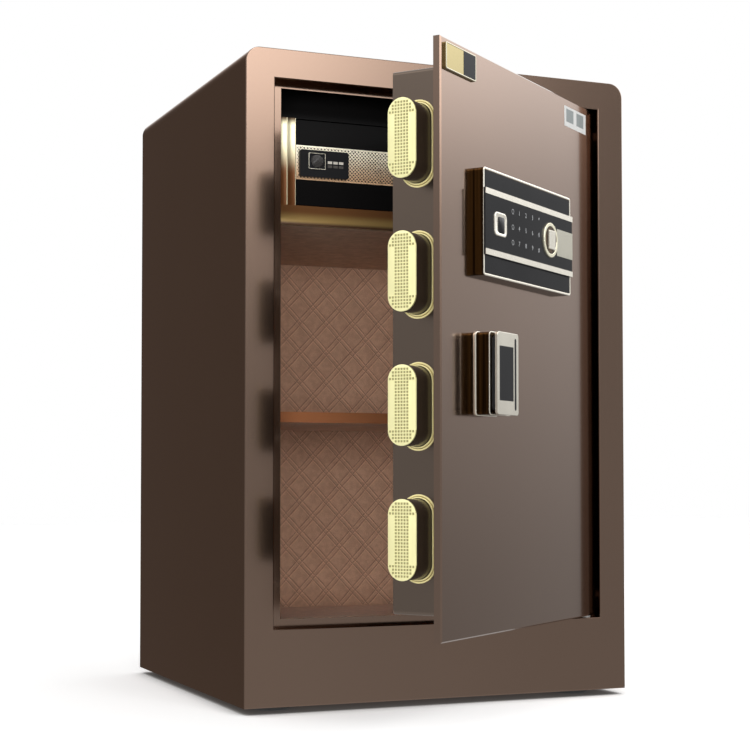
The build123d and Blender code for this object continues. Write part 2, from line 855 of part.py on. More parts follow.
bar_low = bolt_heights[0] - bolt_height / 3
bar_high = bolt_heights[-1] + bolt_height / 3
bar_neck = plunger_x - solenoid_width / 2 - bolt_throw - neck_gap
post_x = bar_left + bolt_throw + 2 * post_radius
post_heights = ((bolt_heights[0] + bolt_heights[1]) / 2, (bolt_heights[-2] + bolt_heights[-1]) / 2)
slot_centre = handle_height + (crank_arm + crank_radius) / 2
tongue_bottom = slot_centre + crank_slot_length / 2 + tongue_rise
tongue_end = plunger_x - plunger_radius - tongue_gap
solenoid_low = tongue_bottom + tongue_height + 2 * plunger_clear + plunger_length / 3
solenoid_high = solenoid_low + solenoid_height
with BuildPart() as bolt_bar:
    with BuildSketch(door_plane(bar_front)):
        door_rectangle(bar_left, bar_right, bar_low, bar_high)
        door_rectangle(bar_neck, bar_right, tongue_bottom + tongue_height, solenoid_high + board_gap, Mode.SUBTRACT)
        door_rectangle(bar_left, tongue_end, tongue_bottom, tongue_bottom + tongue_height)
        with Locations((handle_x - crank_arm, slot_centre)):
            SlotOverall(crank_slot_length, 2 * crank_pin + crank_slot_play, rotation=90, mode=Mode.SUBTRACT)
        for height in post_heights:
            with Locations((post_x - bolt_throw / 2, height)):
                SlotOverall(bolt_throw + 2 * (post_radius + slide_clearance), 2 * (post_radius + slide_clearance),
                            mode=Mode.SUBTRACT)
    extrude(amount=-bar_sheet)
save(bolt_bar, "bolt_bar")

# Door: shouldered posts that guide the bolt bar
post_spots = [(post_x, height) for height in post_heights]
with BuildPart() as guide_posts:
    with BuildSketch(door_plane(plate_thickness)):
        with Locations(*post_spots):
            Circle(post_shoulder)
    extrude(amount=-(bar_front - slide_clearance - plate_thickness))
    with BuildSketch(door_plane(plate_thickness)):
        with Locations(*post_spots):
            Circle(post_radius)
    extrude(amount=-(bar_back + slide_clearance - plate_thickness))
    with BuildSketch(door_plane(bar_back + slide_clearance)):
        with Locations(*post_spots):
            Circle(post_head)
    extrude(amount=-post_head_height)
save(guide_posts, "guide_posts")

# Handle: fixed base with a boss through the plate
with BuildPart() as handle_base:
    with BuildSketch(door_plane(0)):
        with Locations((handle_x, handle_height)):
            RectangleRounded(handle_width, handle_length, handle_corner)
    extrude(amount=base_height)
    fillet(handle_base.faces().sort_by(Axis(hinge_point, door_out))[-1].edges(), edge_round)
    with BuildSketch(door_plane(0)):
        with Locations((handle_x, handle_height)):
            Circle(boss_radius)
    extrude(amount=-(plate_thickness + boss_reach))
    with BuildSketch(door_plane(-base_height)):
        with Locations((handle_x, handle_height)):
            Circle(spindle_radius + spindle_running)
    extrude(amount=-(base_height + plate_thickness + boss_reach), mode=Mode.SUBTRACT)
save(handle_base, "handle_base")

# Handle: turning grip, its neck, glass inlay and spindle
grip_back = -base_height - neck_height
grip_front = grip_back - grip_height
with BuildPart() as handle_grip:
    with BuildSketch(door_plane(-base_height - slide_clearance)):
        with Locations((handle_x, handle_height)):
            RectangleRounded(handle_width - 2 * neck_inset, handle_length - 2 * neck_inset, handle_corner)
    extrude(amount=neck_height)
    with BuildSketch(door_plane(grip_back)):
        with Locations((handle_x, handle_height)):
            RectangleRounded(handle_width, handle_length, handle_corner)
    extrude(amount=grip_height)
    fillet(handle_grip.faces().sort_by(Axis(hinge_point, door_out))[-1].edges(), edge_round / 2)
    with BuildSketch(door_plane(grip_front)):
        with Locations((handle_x + insert_offset, handle_height)):
            Rectangle(insert_width, insert_length)
        with Locations((handle_x + groove_offset, handle_height)):
            SlotOverall(handle_length - 4 * groove_width, groove_width, rotation=90)
    extrude(amount=-insert_depth, mode=Mode.SUBTRACT)
save(handle_grip, "handle_grip")

with BuildPart() as handle_inlay:
    with BuildSketch(door_plane(grip_front + insert_depth)):
        with Locations((handle_x + insert_offset, handle_height)):
            Rectangle(insert_width, insert_length)
    extrude(amount=insert_depth)
save(handle_inlay, "handle_inlay")

crank_front = crank_back - crank_sheet
with BuildPart() as handle_spindle:
    with BuildSketch(door_plane(-base_height - slide_clearance)):
        with Locations((handle_x, handle_height)):
            Circle(spindle_radius)
    extrude(amount=-(base_height + slide_clearance + crank_front))
save(handle_spindle, "handle_spindle")

# Handle: crank behind the plate, whose pin moves the bar
with BuildPart() as drive_crank:
    with BuildSketch(door_plane(crank_front)):
        with Locations((handle_x - crank_arm / 2, handle_height + crank_arm / 2)):
            SlotCenterToCenter(crank_radius, 2 * crank_end, rotation=135)
        with Locations((handle_x, handle_height)):
            Circle(crank_hub)
    extrude(amount=-crank_sheet)
    with BuildSketch(door_plane(crank_back)):
        with Locations((handle_x - crank_arm, handle_height + crank_arm)):
            Circle(crank_pin)
    extrude(amount=-(crank_gap + bar_sheet))
save(drive_crank, "drive_crank")

# Solenoid that blocks the bar: body on the plate, and its plunger
with BuildPart() as solenoid:
    with BuildSketch(door_plane(plate_thickness)):
        door_rectangle(plunger_x - solenoid_width / 2, plunger_x + solenoid_width / 2, solenoid_low, solenoid_high)
    extrude(amount=-solenoid_depth)
    fillet(solenoid.edges().filter_by(Axis.Z), edge_round)
    with BuildSketch(door_level_plane(solenoid_low)):
        with Locations((plunger_x, plate_thickness + solenoid_depth / 2 - hinge_depth)):
            Circle(plunger_radius + slide_clearance)
    extrude(amount=solenoid_height, mode=Mode.SUBTRACT)
save(solenoid, "solenoid")

plunger_low = tongue_bottom + tongue_height + plunger_clear
with BuildPart() as plunger:
    with BuildSketch(door_level_plane(plunger_low)):
        with Locations((plunger_x, plate_thickness + solenoid_depth / 2 - hinge_depth)):
            Circle(plunger_radius)
    extrude(amount=plunger_length)
    chamfer(plunger.edges().group_by(Axis.Z)[0], plunger_tip)
save(plunger, "solenoid_plunger")

# Battery box, its cells and the hatch in the cover
box_cell_front = cover_front - battery_deep
with BuildPart() as battery_box:
    with BuildSketch(door_plane(box_cell_front)):
        with Locations((hatch_x, hatch_z)):
            Rectangle(hatch_width, hatch_height)
    extrude(amount=-(cover_front - box_cell_front))
    with BuildSketch(door_plane(box_cell_front + battery_wall)):
        with Locations((hatch_x, hatch_z)):
            Rectangle(hatch_width - 2 * battery_wall, hatch_height - 2 * battery_wall)
    extrude(amount=-(cover_front - box_cell_front), mode=Mode.SUBTRACT)
    with BuildSketch(door_plane(plate_thickness)):
        with Locations((hatch_x, hatch_z)):
            with GridLocations(hatch_width - 2 * battery_post_inset, hatch_height - 2 * battery_post_inset, 2, 2):
                Circle(battery_post)
    extrude(amount=-(box_cell_front - plate_thickness))
save(battery_box, "battery_box")

with BuildPart() as batteries:
    with BuildSketch(door_level_plane(hatch_z - battery_length / 2)):
        cell_depth = box_cell_front + battery_wall + battery_radius - hinge_depth
        with Locations((hatch_x, cell_depth)):
            with GridLocations(2 * battery_radius + battery_gap, 1, battery_count, 1):
                Circle(battery_radius)
    extrude(amount=battery_length)
save(batteries, "batteries")

with BuildPart() as battery_hatch:
    with BuildSketch(door_plane(box_back)):
        with Locations((hatch_x, hatch_z)):
            RectangleRounded(hatch_width + 2 * hatch_overlap, hatch_height + 2 * hatch_overlap, box_corner)
    extrude(amount=-cover_sheet)
    with BuildSketch(door_plane(box_back)):
        with Locations((hatch_x, hatch_z)):
            Rectangle(hatch_width - 2 * hatch_gap, hatch_height - 2 * hatch_gap)
    extrude(amount=cover_sheet)
save(battery_hatch, "battery_hatch")

# Control board on four standoffs behind the touch panel, above the solenoid
board_x = panel_x + cable_hole / 2 - board_width / 2
board_z = solenoid_high + board_gap + board_height / 2
board_back = plate_thickness + board_standoff + board_sheet
with BuildPart() as control_board:
    with BuildSketch(door_plane(plate_thickness + board_standoff)):
        with Locations((board_x, board_z)):
            Rectangle(board_width, board_height)
    extrude(amount=-board_sheet)
    with BuildSketch(door_plane(plate_thickness)):
        with Locations((board_x, board_z)):
            with GridLocations(board_width - 2 * board_post_inset, board_height - 2 * board_post_inset, 2, 2):
                Circle(board_post)
    extrude(amount=-board_standoff)
    with BuildSketch(door_plane(board_back)):
        with Locations((board_x + chip_size / 2, board_z + chip_size / 2)):
            Rectangle(chip_size, chip_size)
        with Locations((board_x + plug_socket_width, board_z - chip_size)):
            Rectangle(plug_socket_width, plug_socket_height)
    extrude(amount=-chip_height)
save(control_board, "control_board")

# Touch panel: housing, front glass and the raised middle band
with BuildPart() as panel_housing:
    with BuildSketch(door_plane(0)):
        with Locations((panel_x, panel_centre)):
            RectangleRounded(panel_width, panel_height, panel_corner)
    extrude(amount=panel_thickness)
    fillet(panel_housing.faces().sort_by(Axis(hinge_point, door_out))[-1].edges(), edge_round / 2)
    with BuildSketch(door_plane(-panel_thickness)):
        with Locations((panel_x, panel_centre)):
            Rectangle(panel_width - 2 * panel_rim, panel_height - 2 * panel_rim)
    extrude(amount=-glass_thickness, mode=Mode.SUBTRACT)
    with BuildSketch(door_plane(0)):
        with Locations((knob_turn_x, panel_centre)):
            Circle(plug_shaft + slide_clearance)
    extrude(amount=panel_thickness, mode=Mode.SUBTRACT)
save(panel_housing, "panel_housing")

glass_width = panel_width - 2 * panel_rim - 0.2
glass_height = panel_height - 2 * panel_rim - 0.2
glass_strip = (glass_height - band_height) / 2
with BuildPart() as panel_glass:
    with BuildSketch(door_plane(-panel_thickness + glass_thickness)):
        for side in (-1, 1):
            with Locations((panel_x, panel_centre + side * (band_height + glass_strip) / 2)):
                Rectangle(glass_width, glass_strip)
    extrude(amount=glass_thickness)
save(panel_glass, "panel_glass")

band_front = -panel_thickness - band_raise
with BuildPart() as panel_band:
    with BuildSketch(door_plane(-panel_thickness)):
        with Locations((panel_x, panel_centre)):
            Rectangle(panel_width, band_height)
    extrude(amount=band_raise)
    with BuildSketch(door_plane(-panel_thickness + glass_thickness)):
        with Locations((panel_x, panel_centre)):
            Rectangle(glass_width, band_height)
    extrude(amount=glass_thickness)
    with BuildSketch(door_plane(band_front)):
        with Locations((knob_turn_x, panel_centre)):
            Circle(plug_shaft + slide_clearance)
        with Locations((finger_x, panel_centre)):
            RectangleRounded(finger_width - 2 * finger_rim, finger_height - 2 * finger_rim, finger_corner - finger_rim)
    extrude(amount=-(band_raise + glass_thickness), mode=Mode.SUBTRACT)
save(panel_band, "panel_band")

with BuildPart() as panel_strips:
    with BuildSketch(door_plane(band_front)):
        for side in (-1, 1):
            with Locations((panel_x, panel_centre + side * (band_height - band_strip) / 2)):
                Rectangle(panel_width, band_strip)
    extrude(amount=strip_raise)
save(panel_strips, "panel_strips")

with BuildPart() as finger_bezel:
    with BuildSketch(door_plane(band_front)):
        with Locations((finger_x, panel_centre)):
            RectangleRounded(finger_width, finger_height, finger_corner)
            RectangleRounded(finger_width - 2 * finger_rim, finger_height - 2 * finger_rim,
                             finger_corner - finger_rim, mode=Mode.SUBTRACT)
    extrude(amount=finger_raise)
save(finger_bezel, "finger_bezel")

with BuildPart() as finger_sensor:
    with BuildSketch(door_plane(-panel_thickness + glass_thickness)):
        with Locations((finger_x, panel_centre)):
            RectangleRounded(finger_width - 2 * finger_rim - 0.2, finger_height - 2 * finger_rim - 0.2,
                             finger_corner - finger_rim)
    extrude(amount=glass_thickness + band_raise / 2)
save(finger_sensor, "finger_sensor")

with BuildPart() as key_ring:
    with BuildSketch(door_plane(band_front)):
        with Locations((knob_turn_x, panel_centre)):
            Circle(ring_radius)
            Circle(ring_inner, mode=Mode.SUBTRACT)
    extrude(amount=ring_raise)
    fillet(key_ring.faces().sort_by(Axis(hinge_point, door_out))[-1].edges(), edge_round / 2)
save(key_ring, "key_ring")

with BuildPart() as label_tab:
    with BuildSketch(door_plane(band_front)):
        tab_right = panel_x + panel_width / 2
        with Locations((tab_right - tab_width / 2, panel_centre)):
            Rectangle(tab_width, tab_height)
        with Locations((knob_turn_x, panel_centre)):
            Circle(ring_radius, mode=Mode.SUBTRACT)
    extrude(amount=tab_raise)
save(label_tab, "label_tab")

# Override knob: turning disc, its finger grip, and the plug with a cam behind the plate
with BuildPart() as override_knob:
    with BuildSketch(door_plane(band_front - slide_clearance)):
        with Locations((knob_turn_x, panel_centre)):
            Circle(knob_turn_radius)
    extrude(amount=knob_turn_raise)
save(override_knob, "override_knob")

with BuildPart() as override_grip:
    with BuildSketch(door_plane(band_front - slide_clearance - knob_turn_raise)):
        with Locations((knob_turn_x, panel_centre)):
            RectangleRounded(knob_grip_width, knob_grip_height, edge_round)
    extrude(amount=knob_grip_raise)
    fillet(override_grip.faces().sort_by(Axis(hinge_point, door_out))[-1].edges(), edge_round / 2)
save(override_grip, "override_grip")

with BuildPart() as override_plug:
    with BuildSketch(door_plane(band_front - slide_clearance)):
        with Locations((knob_turn_x, panel_centre)):
            Circle(plug_shaft)
    extrude(amount=-(panel_thickness + band_raise + slide_clearance + plate_thickness + plug_reach))
    with BuildSketch(door_plane(plate_thickness + plug_reach - plug_cam_sheet)):
        with Locations((knob_turn_x, panel_centre - plug_cam_length / 2)):
            SlotCenterToCenter(plug_cam_length, 2 * (plug_shaft + 2), rotation=90)
    extrude(amount=-plug_cam_sheet)
save(override_plug, "override_plug")

# Plain badge plate near the door's top corner
with BuildPart() as badge_plate:
    with BuildSketch(door_plane(0)):
        with Locations((badge_x, badge_centre)):
            RectangleRounded(badge_width, badge_height, badge_corner)
    extrude(amount=badge_thickness)
    chamfer(badge_plate.faces().sort_by(Axis(hinge_point, door_out))[-1].edges(), badge_bevel)
save(badge_plate, "badge_plate")
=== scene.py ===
from math import hypot, pi, radians, sin

import bmesh
import bpy
from mathutils import Matrix, Vector


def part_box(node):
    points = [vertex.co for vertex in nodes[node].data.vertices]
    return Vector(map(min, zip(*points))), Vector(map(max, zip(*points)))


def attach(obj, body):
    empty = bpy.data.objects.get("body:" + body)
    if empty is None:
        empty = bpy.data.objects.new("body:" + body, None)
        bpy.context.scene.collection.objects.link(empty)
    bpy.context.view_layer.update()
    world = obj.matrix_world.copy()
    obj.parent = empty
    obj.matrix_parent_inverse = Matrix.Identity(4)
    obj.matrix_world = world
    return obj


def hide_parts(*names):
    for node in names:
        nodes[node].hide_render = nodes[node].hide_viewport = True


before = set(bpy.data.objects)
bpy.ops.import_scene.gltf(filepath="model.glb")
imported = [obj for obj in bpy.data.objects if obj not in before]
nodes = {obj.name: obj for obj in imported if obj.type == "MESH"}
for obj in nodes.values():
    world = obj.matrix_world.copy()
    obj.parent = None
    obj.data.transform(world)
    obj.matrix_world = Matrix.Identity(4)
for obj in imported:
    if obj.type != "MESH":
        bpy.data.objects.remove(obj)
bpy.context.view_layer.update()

# Places on the door are measured in mm: across from the hinge axis, behind its outer face, and up
DOOR_ANGLE = radians(37.6)
DOOR = (Matrix.Translation((157, -174, 0)) @ Matrix.Rotation(DOOR_ANGLE, 4, "Z")
        @ Matrix.Translation((0, -7, 0)))
CABINET = Matrix.Translation((0, -181, 0))
TO_METRES = Matrix.Scale(0.001, 4)
RIGHT, BACK, UP = Vector((1, 0, 0)), Vector((0, 1, 0)), Vector((0, 0, 1))


# ---------------------------------------------------------------- camera, lamps and floor
camera_data = bpy.data.cameras.new("catalogue_camera")
camera_data.lens = 79.315
camera_data.sensor_width = 36
camera_data.shift_x = 0.00729
camera_data.shift_y = 0.05715
camera = bpy.data.objects.new("catalogue_camera", camera_data)
camera.location = (-0.66764, -1.59595, 0.21266)
camera.rotation_euler = (radians(92.097), 0, radians(-22.693))
bpy.context.scene.collection.objects.link(camera)
bpy.context.scene.camera = camera
bpy.context.scene.view_settings.view_transform = "Standard"


class Value:
    """A number that a finish works with: sums and products of it become Math nodes."""

    def __init__(self, tree, socket):
        self.tree = tree
        self.socket = socket

    def _math(self, operation, *terms):
        node = self.tree.nodes.new("ShaderNodeMath")
        node.operation = operation
        for slot, term in zip(node.inputs, terms):
            if isinstance(term, Value):
                self.tree.links.new(term.socket, slot)
            else:
                slot.default_value = term
        return Value(self.tree, node.outputs[0])

    def __add__(self, other):
        return self._math("ADD", self, other)

    def __radd__(self, other):
        return self._math("ADD", other, self)

    def __sub__(self, other):
        return self._math("SUBTRACT", self, other)

    def __rsub__(self, other):
        return self._math("SUBTRACT", other, self)

    def __mul__(self, other):
        return self._math("MULTIPLY", self, other)

    def __rmul__(self, other):
        return self._math("MULTIPLY", other, self)

    def __abs__(self):
        return self._math("ABSOLUTE", self)

    def least(self, other):
        return self._math("MINIMUM", self, other)

    def most(self, other):
        return self._math("MAXIMUM", self, other)

    def to_line(self):
        """Distance to the nearest whole number, from 0 to a half."""
        return self._math("PINGPONG", self, 0.5)


class Finish:
    """The node tree of one finish. Everything in it comes from add(), apart from Math nodes."""

    def __init__(self, name, block=None, **fixed):
        self.block = block or bpy.data.materials.new(name)
        self.block.use_nodes = True
        self.tree = self.block.node_tree
        self.shader = self.tree.nodes.get("Principled BSDF")
        for socket, value in fixed.items():
            self.shader.inputs[socket.replace("_", " ")].default_value = value

    def add(self, kind, settings=None, inputs=None, output=0):
        node = self.tree.nodes.new(kind)
        for name, value in (settings or {}).items():
            setattr(node, name, value)
        for name, value in (inputs or {}).items():
            self.feed(node.inputs[name], value)
        return Value(self.tree, node.outputs[output])

    def feed(self, socket, value):
        if isinstance(value, Value):
            self.tree.links.new(value.socket, socket)
        else:
            socket.default_value = value

    def wear(self, **varying):
        """Links what varies over the surface to the shader."""
        for socket, value in varying.items():
            self.feed(self.shader.inputs[socket.replace("_", " ")], value)

    def place(self, turned=0.0, moved=(0, 0, 0)):
        """The piece's own place, in metres, turned back about the upright axis."""
        spot = self.add("ShaderNodeTexCoord", output="Object")
        return self.add("ShaderNodeMapping", {"vector_type": "POINT"},
                        {"Vector": spot, "Rotation": (0, 0, -turned), "Location": moved})

    def axes(self, spot):
        """The three numbers of a place."""
        node = self.add("ShaderNodeSeparateXYZ", {}, {0: spot}).socket.node
        return [Value(self.tree, out) for out in node.outputs]

    def noise(self, spot, scale, detail=2.0, rough=0.5):
        return self.add("ShaderNodeTexNoise", {}, {"Vector": spot, "Scale": scale, "Detail": detail,
                                                   "Roughness": rough}, "Fac")

    def between(self, mask, first, second):
        """Colours mixed by a mask from 0 to 1."""
        first = (*first, 1) if isinstance(first, tuple) else first
        second = (*second, 1) if isinstance(second, tuple) else second
        return self.add("ShaderNodeMix", {"data_type": "RGBA"}, {0: mask, 6: first, 7: second}, 2)

    def ramp(self, value, low, high, to_low=0.0, to_high=1.0):
        return self.add("ShaderNodeMapRange", {"interpolation_type": "SMOOTHSTEP"},
                        {0: value, 1: low, 2: high, 3: to_low, 4: to_high})

    def by_height(self, lowest, *steps):
        """A colour that changes on the way up: each step gives (from, to, colour), in metres."""
        height = self.axes(self.place())[2]
        tone = lowest
        for low, high, colour in steps:
            tone = self.between(self.ramp(height, low, high), tone, colour)
        return tone

    def relief(self, height, depth, strength=1.0):
        """Bump of a height from 0 to 1 that is depth metres deep."""
        return self.add("ShaderNodeBump", {}, {"Height": height, "Distance": depth, "Strength": strength},
                        "Normal")


def lamp(name, place, aim, width, height, glow):
    """A soft box whose face shines at the strength glow, mirrored by the world in its place."""
    data = bpy.data.lights.new(name, "AREA")
    data.shape = "RECTANGLE"
    data.size = width
    data.size_y = height
    data.energy = glow * pi * width * height
    obj = bpy.data.objects.new(name, data)
    obj.location = place
    obj.rotation_euler = (Vector(aim) - Vector(place)).to_track_quat("-Z", "Y").to_euler()
    obj.visible_glossy = False
    bpy.context.scene.collection.objects.link(obj)


lamp("front_soft_box", (0.50, -2.55, 1.57), (-0.14, -0.12, 0.5), 0.86, 1.26, 4.6)
lamp("side_soft_box", (2.2, -0.55, 1.32), (0.1, -0.25, 0.45), 1.4, 0.9, 4.2)
lamp("fill_soft_box", (-1.05, -2.5, 0.22), (-0.05, 0.1, 0.3), 1.4, 0.9, 22.0)
lamp("left_soft_box", (-2.2, -0.75, 0.45), (-0.1, -0.37, 0.33), 0.8, 1.3, 0.6)

# The soft boxes, as polished surfaces mirror them, feather out with no edge. Each of front, side, behind, back and
# left is a mask over the directions in which a polished surface looks, and mirrored adds up what it sees there
studio = bpy.data.worlds.new("studio")
bpy.context.scene.world = studio
sky = Finish("studio", studio)
sky.shader = sky.tree.nodes["Background"]
seen = sky.add("ShaderNodeLightPath", output="Is Camera Ray")
shown = sky.add("ShaderNodeLightPath", output="Is Glossy Ray")
through = sky.add("ShaderNodeLightPath", output="Is Transmission Ray")
east, north, up = sky.axes(sky.add("ShaderNodeTexCoord", output="Generated"))
front = (sky.ramp(east * 0.914 + north * 0.407, -0.105, 0.105, 1.0, 0.0)
         * sky.ramp(east * 0.966 + north * -0.259, -0.26, 0.17))
side = sky.ramp(east, 0.55, 0.9)
behind = sky.ramp(east * -0.28 + north * 0.96, 0.80, 0.96)
back = sky.ramp(east * 0.6 + north * 0.8, 0.68, 0.97)
left = sky.ramp(east, -0.95, -0.6, 1.0, 0.0)
mirrored = (0.40 + behind * -0.23 + sky.ramp(up, 0.3, 0.8) * 0.4
            + sky.ramp(up, -0.45, -0.06, 0.12, 0.0) + back * (0.10 + sky.ramp(up, -0.1, 0.35) * 0.9)
            + left * sky.ramp(up, 0.1, 0.45) * 0.7
            + front * (0.06 + sky.ramp(up, 0.03, 0.15) * 0.24 + sky.ramp(up, 0.15, 0.255) * 3.1)
            + side * sky.ramp(north, 0.18, 0.27, 1.0, 0.72)
            * (sky.ramp(up, -0.12, 0.30) * 0.52 - 0.10 + sky.ramp(up, 0.15, 0.31) * 1.7))
plain = seen.most(through)
sky.wear(Strength=plain + (1 - plain) * (0.72 + shown * (mirrored - 0.72)))
sky.shader.inputs["Color"].default_value = (1, 1, 1, 1)


# ---------------------------------------------------------------- finishes
def enamel(name, colour, rough, coat=0.25, metal=1.0, edge=(1, 1, 1)):
    """Baked metallic enamel: fine flakes under a clear coat with a faint orange peel."""
    paint = Finish(name, Metallic=metal, Coat_Weight=coat, Coat_Roughness=0.05)
    paint.shader.inputs["Specular Tint"].default_value = (*edge, 1)
    spot = paint.place()
    flake = paint.noise(spot, 2600, 1.0)
    cloud = paint.noise(spot, 9, 3.0)
    darker = tuple(c * 0.93 for c in colour)
    lighter = tuple(min(1, c * 1.07) for c in colour)
    paint.wear(Base_Color=paint.between(flake * 0.6 + cloud * 0.4, darker, lighter),
               Roughness=rough + (flake - 0.5) * 0.05 + (cloud - 0.5) * 0.03,
               Normal=paint.relief(paint.noise(spot, 420, 2.0), 0.00002, 0.3))
    return paint


def plated(name, colour, rough, turned=0.0, brushed=0.0, along_z=False, metal=1.0):
    """Plated metal with a faint haze, and fine brush lines where it's brushed."""
    plate = Finish(name, Metallic=metal)
    spot = plate.place(turned)
    x, y, z = plate.axes(spot)
    haze = plate.noise(spot, 60, 3.0)
    lines = plate.noise(plate.add("ShaderNodeCombineXYZ", {}, {
        0: x * (2600 if along_z else 40), 1: y * 2600, 2: z * (40 if along_z else 2600)}), 1.0, 1.0)
    darker = tuple(c * 0.9 for c in colour)
    plate.wear(Base_Color=plate.between(haze, darker, colour),
               Roughness=rough + (haze - 0.5) * 0.06 + (lines - 0.5) * brushed,
               Normal=plate.relief(lines, 0.00002, brushed))
    return plate


def moulding(name, colour, rough, grain=300, depth=0.00003, coat=0.0):
    """Moulded plastic or rubber with a fine even grain."""
    plastic = Finish(name, Coat_Weight=coat, Coat_Roughness=0.05)
    spot = plastic.place()
    skin = plastic.noise(spot, grain, 2.0)
    cloud = plastic.noise(spot, 20, 2.0)
    lighter = tuple(min(1, c * 1.25 + 0.004) for c in colour)
    plastic.wear(Base_Color=plastic.between(cloud, colour, lighter),
                 Roughness=rough + (skin - 0.5) * 0.08,
                 Normal=plastic.relief(skin, depth, 0.6))
    return plastic


SEAM = 0.0024         # each of the two rows of stitches lies this far from the middle of a seam
SEAM_WIDTH = 0.0008
STITCH = 0.0042       # length of one stitch and its gap


def leatherette(name, colour, quilt=None, turned=0.0):
    """Grained leatherette. quilt gives (axis, axis, width, height) of its stitched diamonds, in metres; its seams
    are painted darker as shade in their grooves, with a painted highlight just below each line of stitches.
    """
    hide = Finish(name, Sheen_Weight=0.15, Sheen_Roughness=0.5)
    spot = hide.place(turned)
    pores = hide.add("ShaderNodeTexVoronoi", {"feature": "DISTANCE_TO_EDGE"},
                     {"Vector": spot, "Scale": 620}, "Distance")
    cloud = hide.noise(spot, 14, 4.0)
    grain = hide.ramp(pores, 0.0, 0.22)
    darker = tuple(c * 0.70 for c in colour)
    creases = hide.noise(spot, 170, 3.0, 0.6)
    tone = hide.between(cloud * 0.35 + grain * 0.25 + hide.ramp(creases, 0.38, 0.62) * 0.40, darker, colour)
    height = grain * 0.12 + creases * 0.3
    rough = 0.52 + (1 - grain) * 0.15
    if quilt:
        across, up, wide, tall = quilt
        sides = hide.axes(spot)
        u = sides[across] * (1 / wide)
        v = sides[up] * (1 / tall)
        lane = wide * tall / hypot(wide, tall)
        groove_and_painted_shade = thread = ridge_and_painted_highlight = None
        for way, other in ((v + u, v - u), (v - u, v + u)):
            gap = way.to_line() * lane
            seam = 1 - hide.ramp(abs(gap - SEAM), 0.0, SEAM_WIDTH)
            run = (other * (lane / STITCH)).to_line()
            sewn = seam * hide.ramp(run, 0.10, 0.18)
            # A painted highlight runs just below each line of stitches, as if light from above caught the groove's
            # lower wall.
            below = (way + (SEAM + 0.001) / lane).to_line().least((way - (SEAM - 0.001) / lane).to_line())
            painted_seam_highlight = 1 - hide.ramp(below * lane, 0.0, 0.0009)
            groove_and_painted_shade = seam if groove_and_painted_shade is None else groove_and_painted_shade.most(seam)
            thread = sewn if thread is None else thread.most(sewn)
            ridge_and_painted_highlight = painted_seam_highlight if ridge_and_painted_highlight is None else ridge_and_painted_highlight.most(painted_seam_highlight)
        # Painted shade darkens the seams' grooves and a painted highlight lightens the strip below each line of
        # stitches; the thread keeps its own paler colour.
        tone = hide.between(ridge_and_painted_highlight * 0.52, tone, tuple(min(1, c * 1.5) for c in colour))
        tone = hide.between(groove_and_painted_shade * 0.74, tone, tuple(c * 0.34 for c in colour))
        tone = hide.between(thread * 0.30, tone, tuple(min(1, c * 1.1) for c in colour))
        height = height + (1 - groove_and_painted_shade) * 0.8 + thread * 0.35 + ridge_and_painted_highlight * 0.3
    hide.wear(Base_Color=tone, Roughness=rough, Normal=hide.relief(height, 0.0009, 1.0))
    return hide


BROWN = (0.270, 0.182, 0.136)
brown_enamel = enamel("brown_enamel", BROWN, 0.14, edge=(0.62, 0.46, 0.38))
door_enamel = enamel("door_enamel", BROWN, 0.14, 0.42)
box_enamel = enamel("box_enamel", (0.214, 0.163, 0.129), 0.22)
BLACK = (0.0042, 0.004, 0.004)
black_enamel = enamel("black_enamel", BLACK, 0.22, 0.0, 0.0)
black_enamel.shader.inputs["Specular IOR Level"].default_value = 0.05
bright_steel = plated("bright_steel", (0.56, 0.56, 0.55), 0.28, brushed=0.25)
hinge_bronze = plated("hinge_bronze", (0.55, 0.36, 0.16), 0.30)
cap_gold = plated("cap_gold", (0.93, 0.88, 0.47), 0.30, DOOR_ANGLE, metal=0.40)
# A darker gold for the caps' pits: painted shade in the recesses.
cap_pit_painted_shade = plated("cap_pit_painted_shade", (0.42, 0.38, 0.17), 0.4, DOOR_ANGLE, metal=0.6)
ring_gold = plated("ring_gold", (1.0, 0.88, 0.44), 0.22, DOOR_ANGLE, metal=0.5)
# Near-black gold for the groove between each ring's raised hoops: painted shade.
ring_groove_painted_shade = plated("ring_groove_painted_shade", (0.07, 0.045, 0.02), 0.3, DOOR_ANGLE)
badge_gold = plated("badge_gold", (0.40, 0.33, 0.15), 0.18, DOOR_ANGLE)
badge_rim = plated("badge_rim", (0.58, 0.54, 0.42), 0.2, DOOR_ANGLE)
satin_zinc = plated("satin_zinc", (0.60, 0.575, 0.48), 0.26, DOOR_ANGLE)
# The rail's gold is banded by height as a painted reflection: a dark lower edge, a gold band, and a brown band
# above.
trim_gold_painted_reflection = Finish("trim_gold_painted_reflection", Metallic=0.5)
trim_gold_painted_reflection.wear(Base_Color=trim_gold_painted_reflection.by_height((0.07, 0.035, 0.018), (0.456, 0.460, (0.34, 0.225, 0.08)),
                                              (0.461, 0.469, (0.18, 0.08, 0.03))),
               Roughness=0.18 + trim_gold_painted_reflection.noise(trim_gold_painted_reflection.place(), 70) * 0.08)
trim_lip = plated("trim_lip", (0.90, 0.82, 0.55), 0.25, metal=0.5)
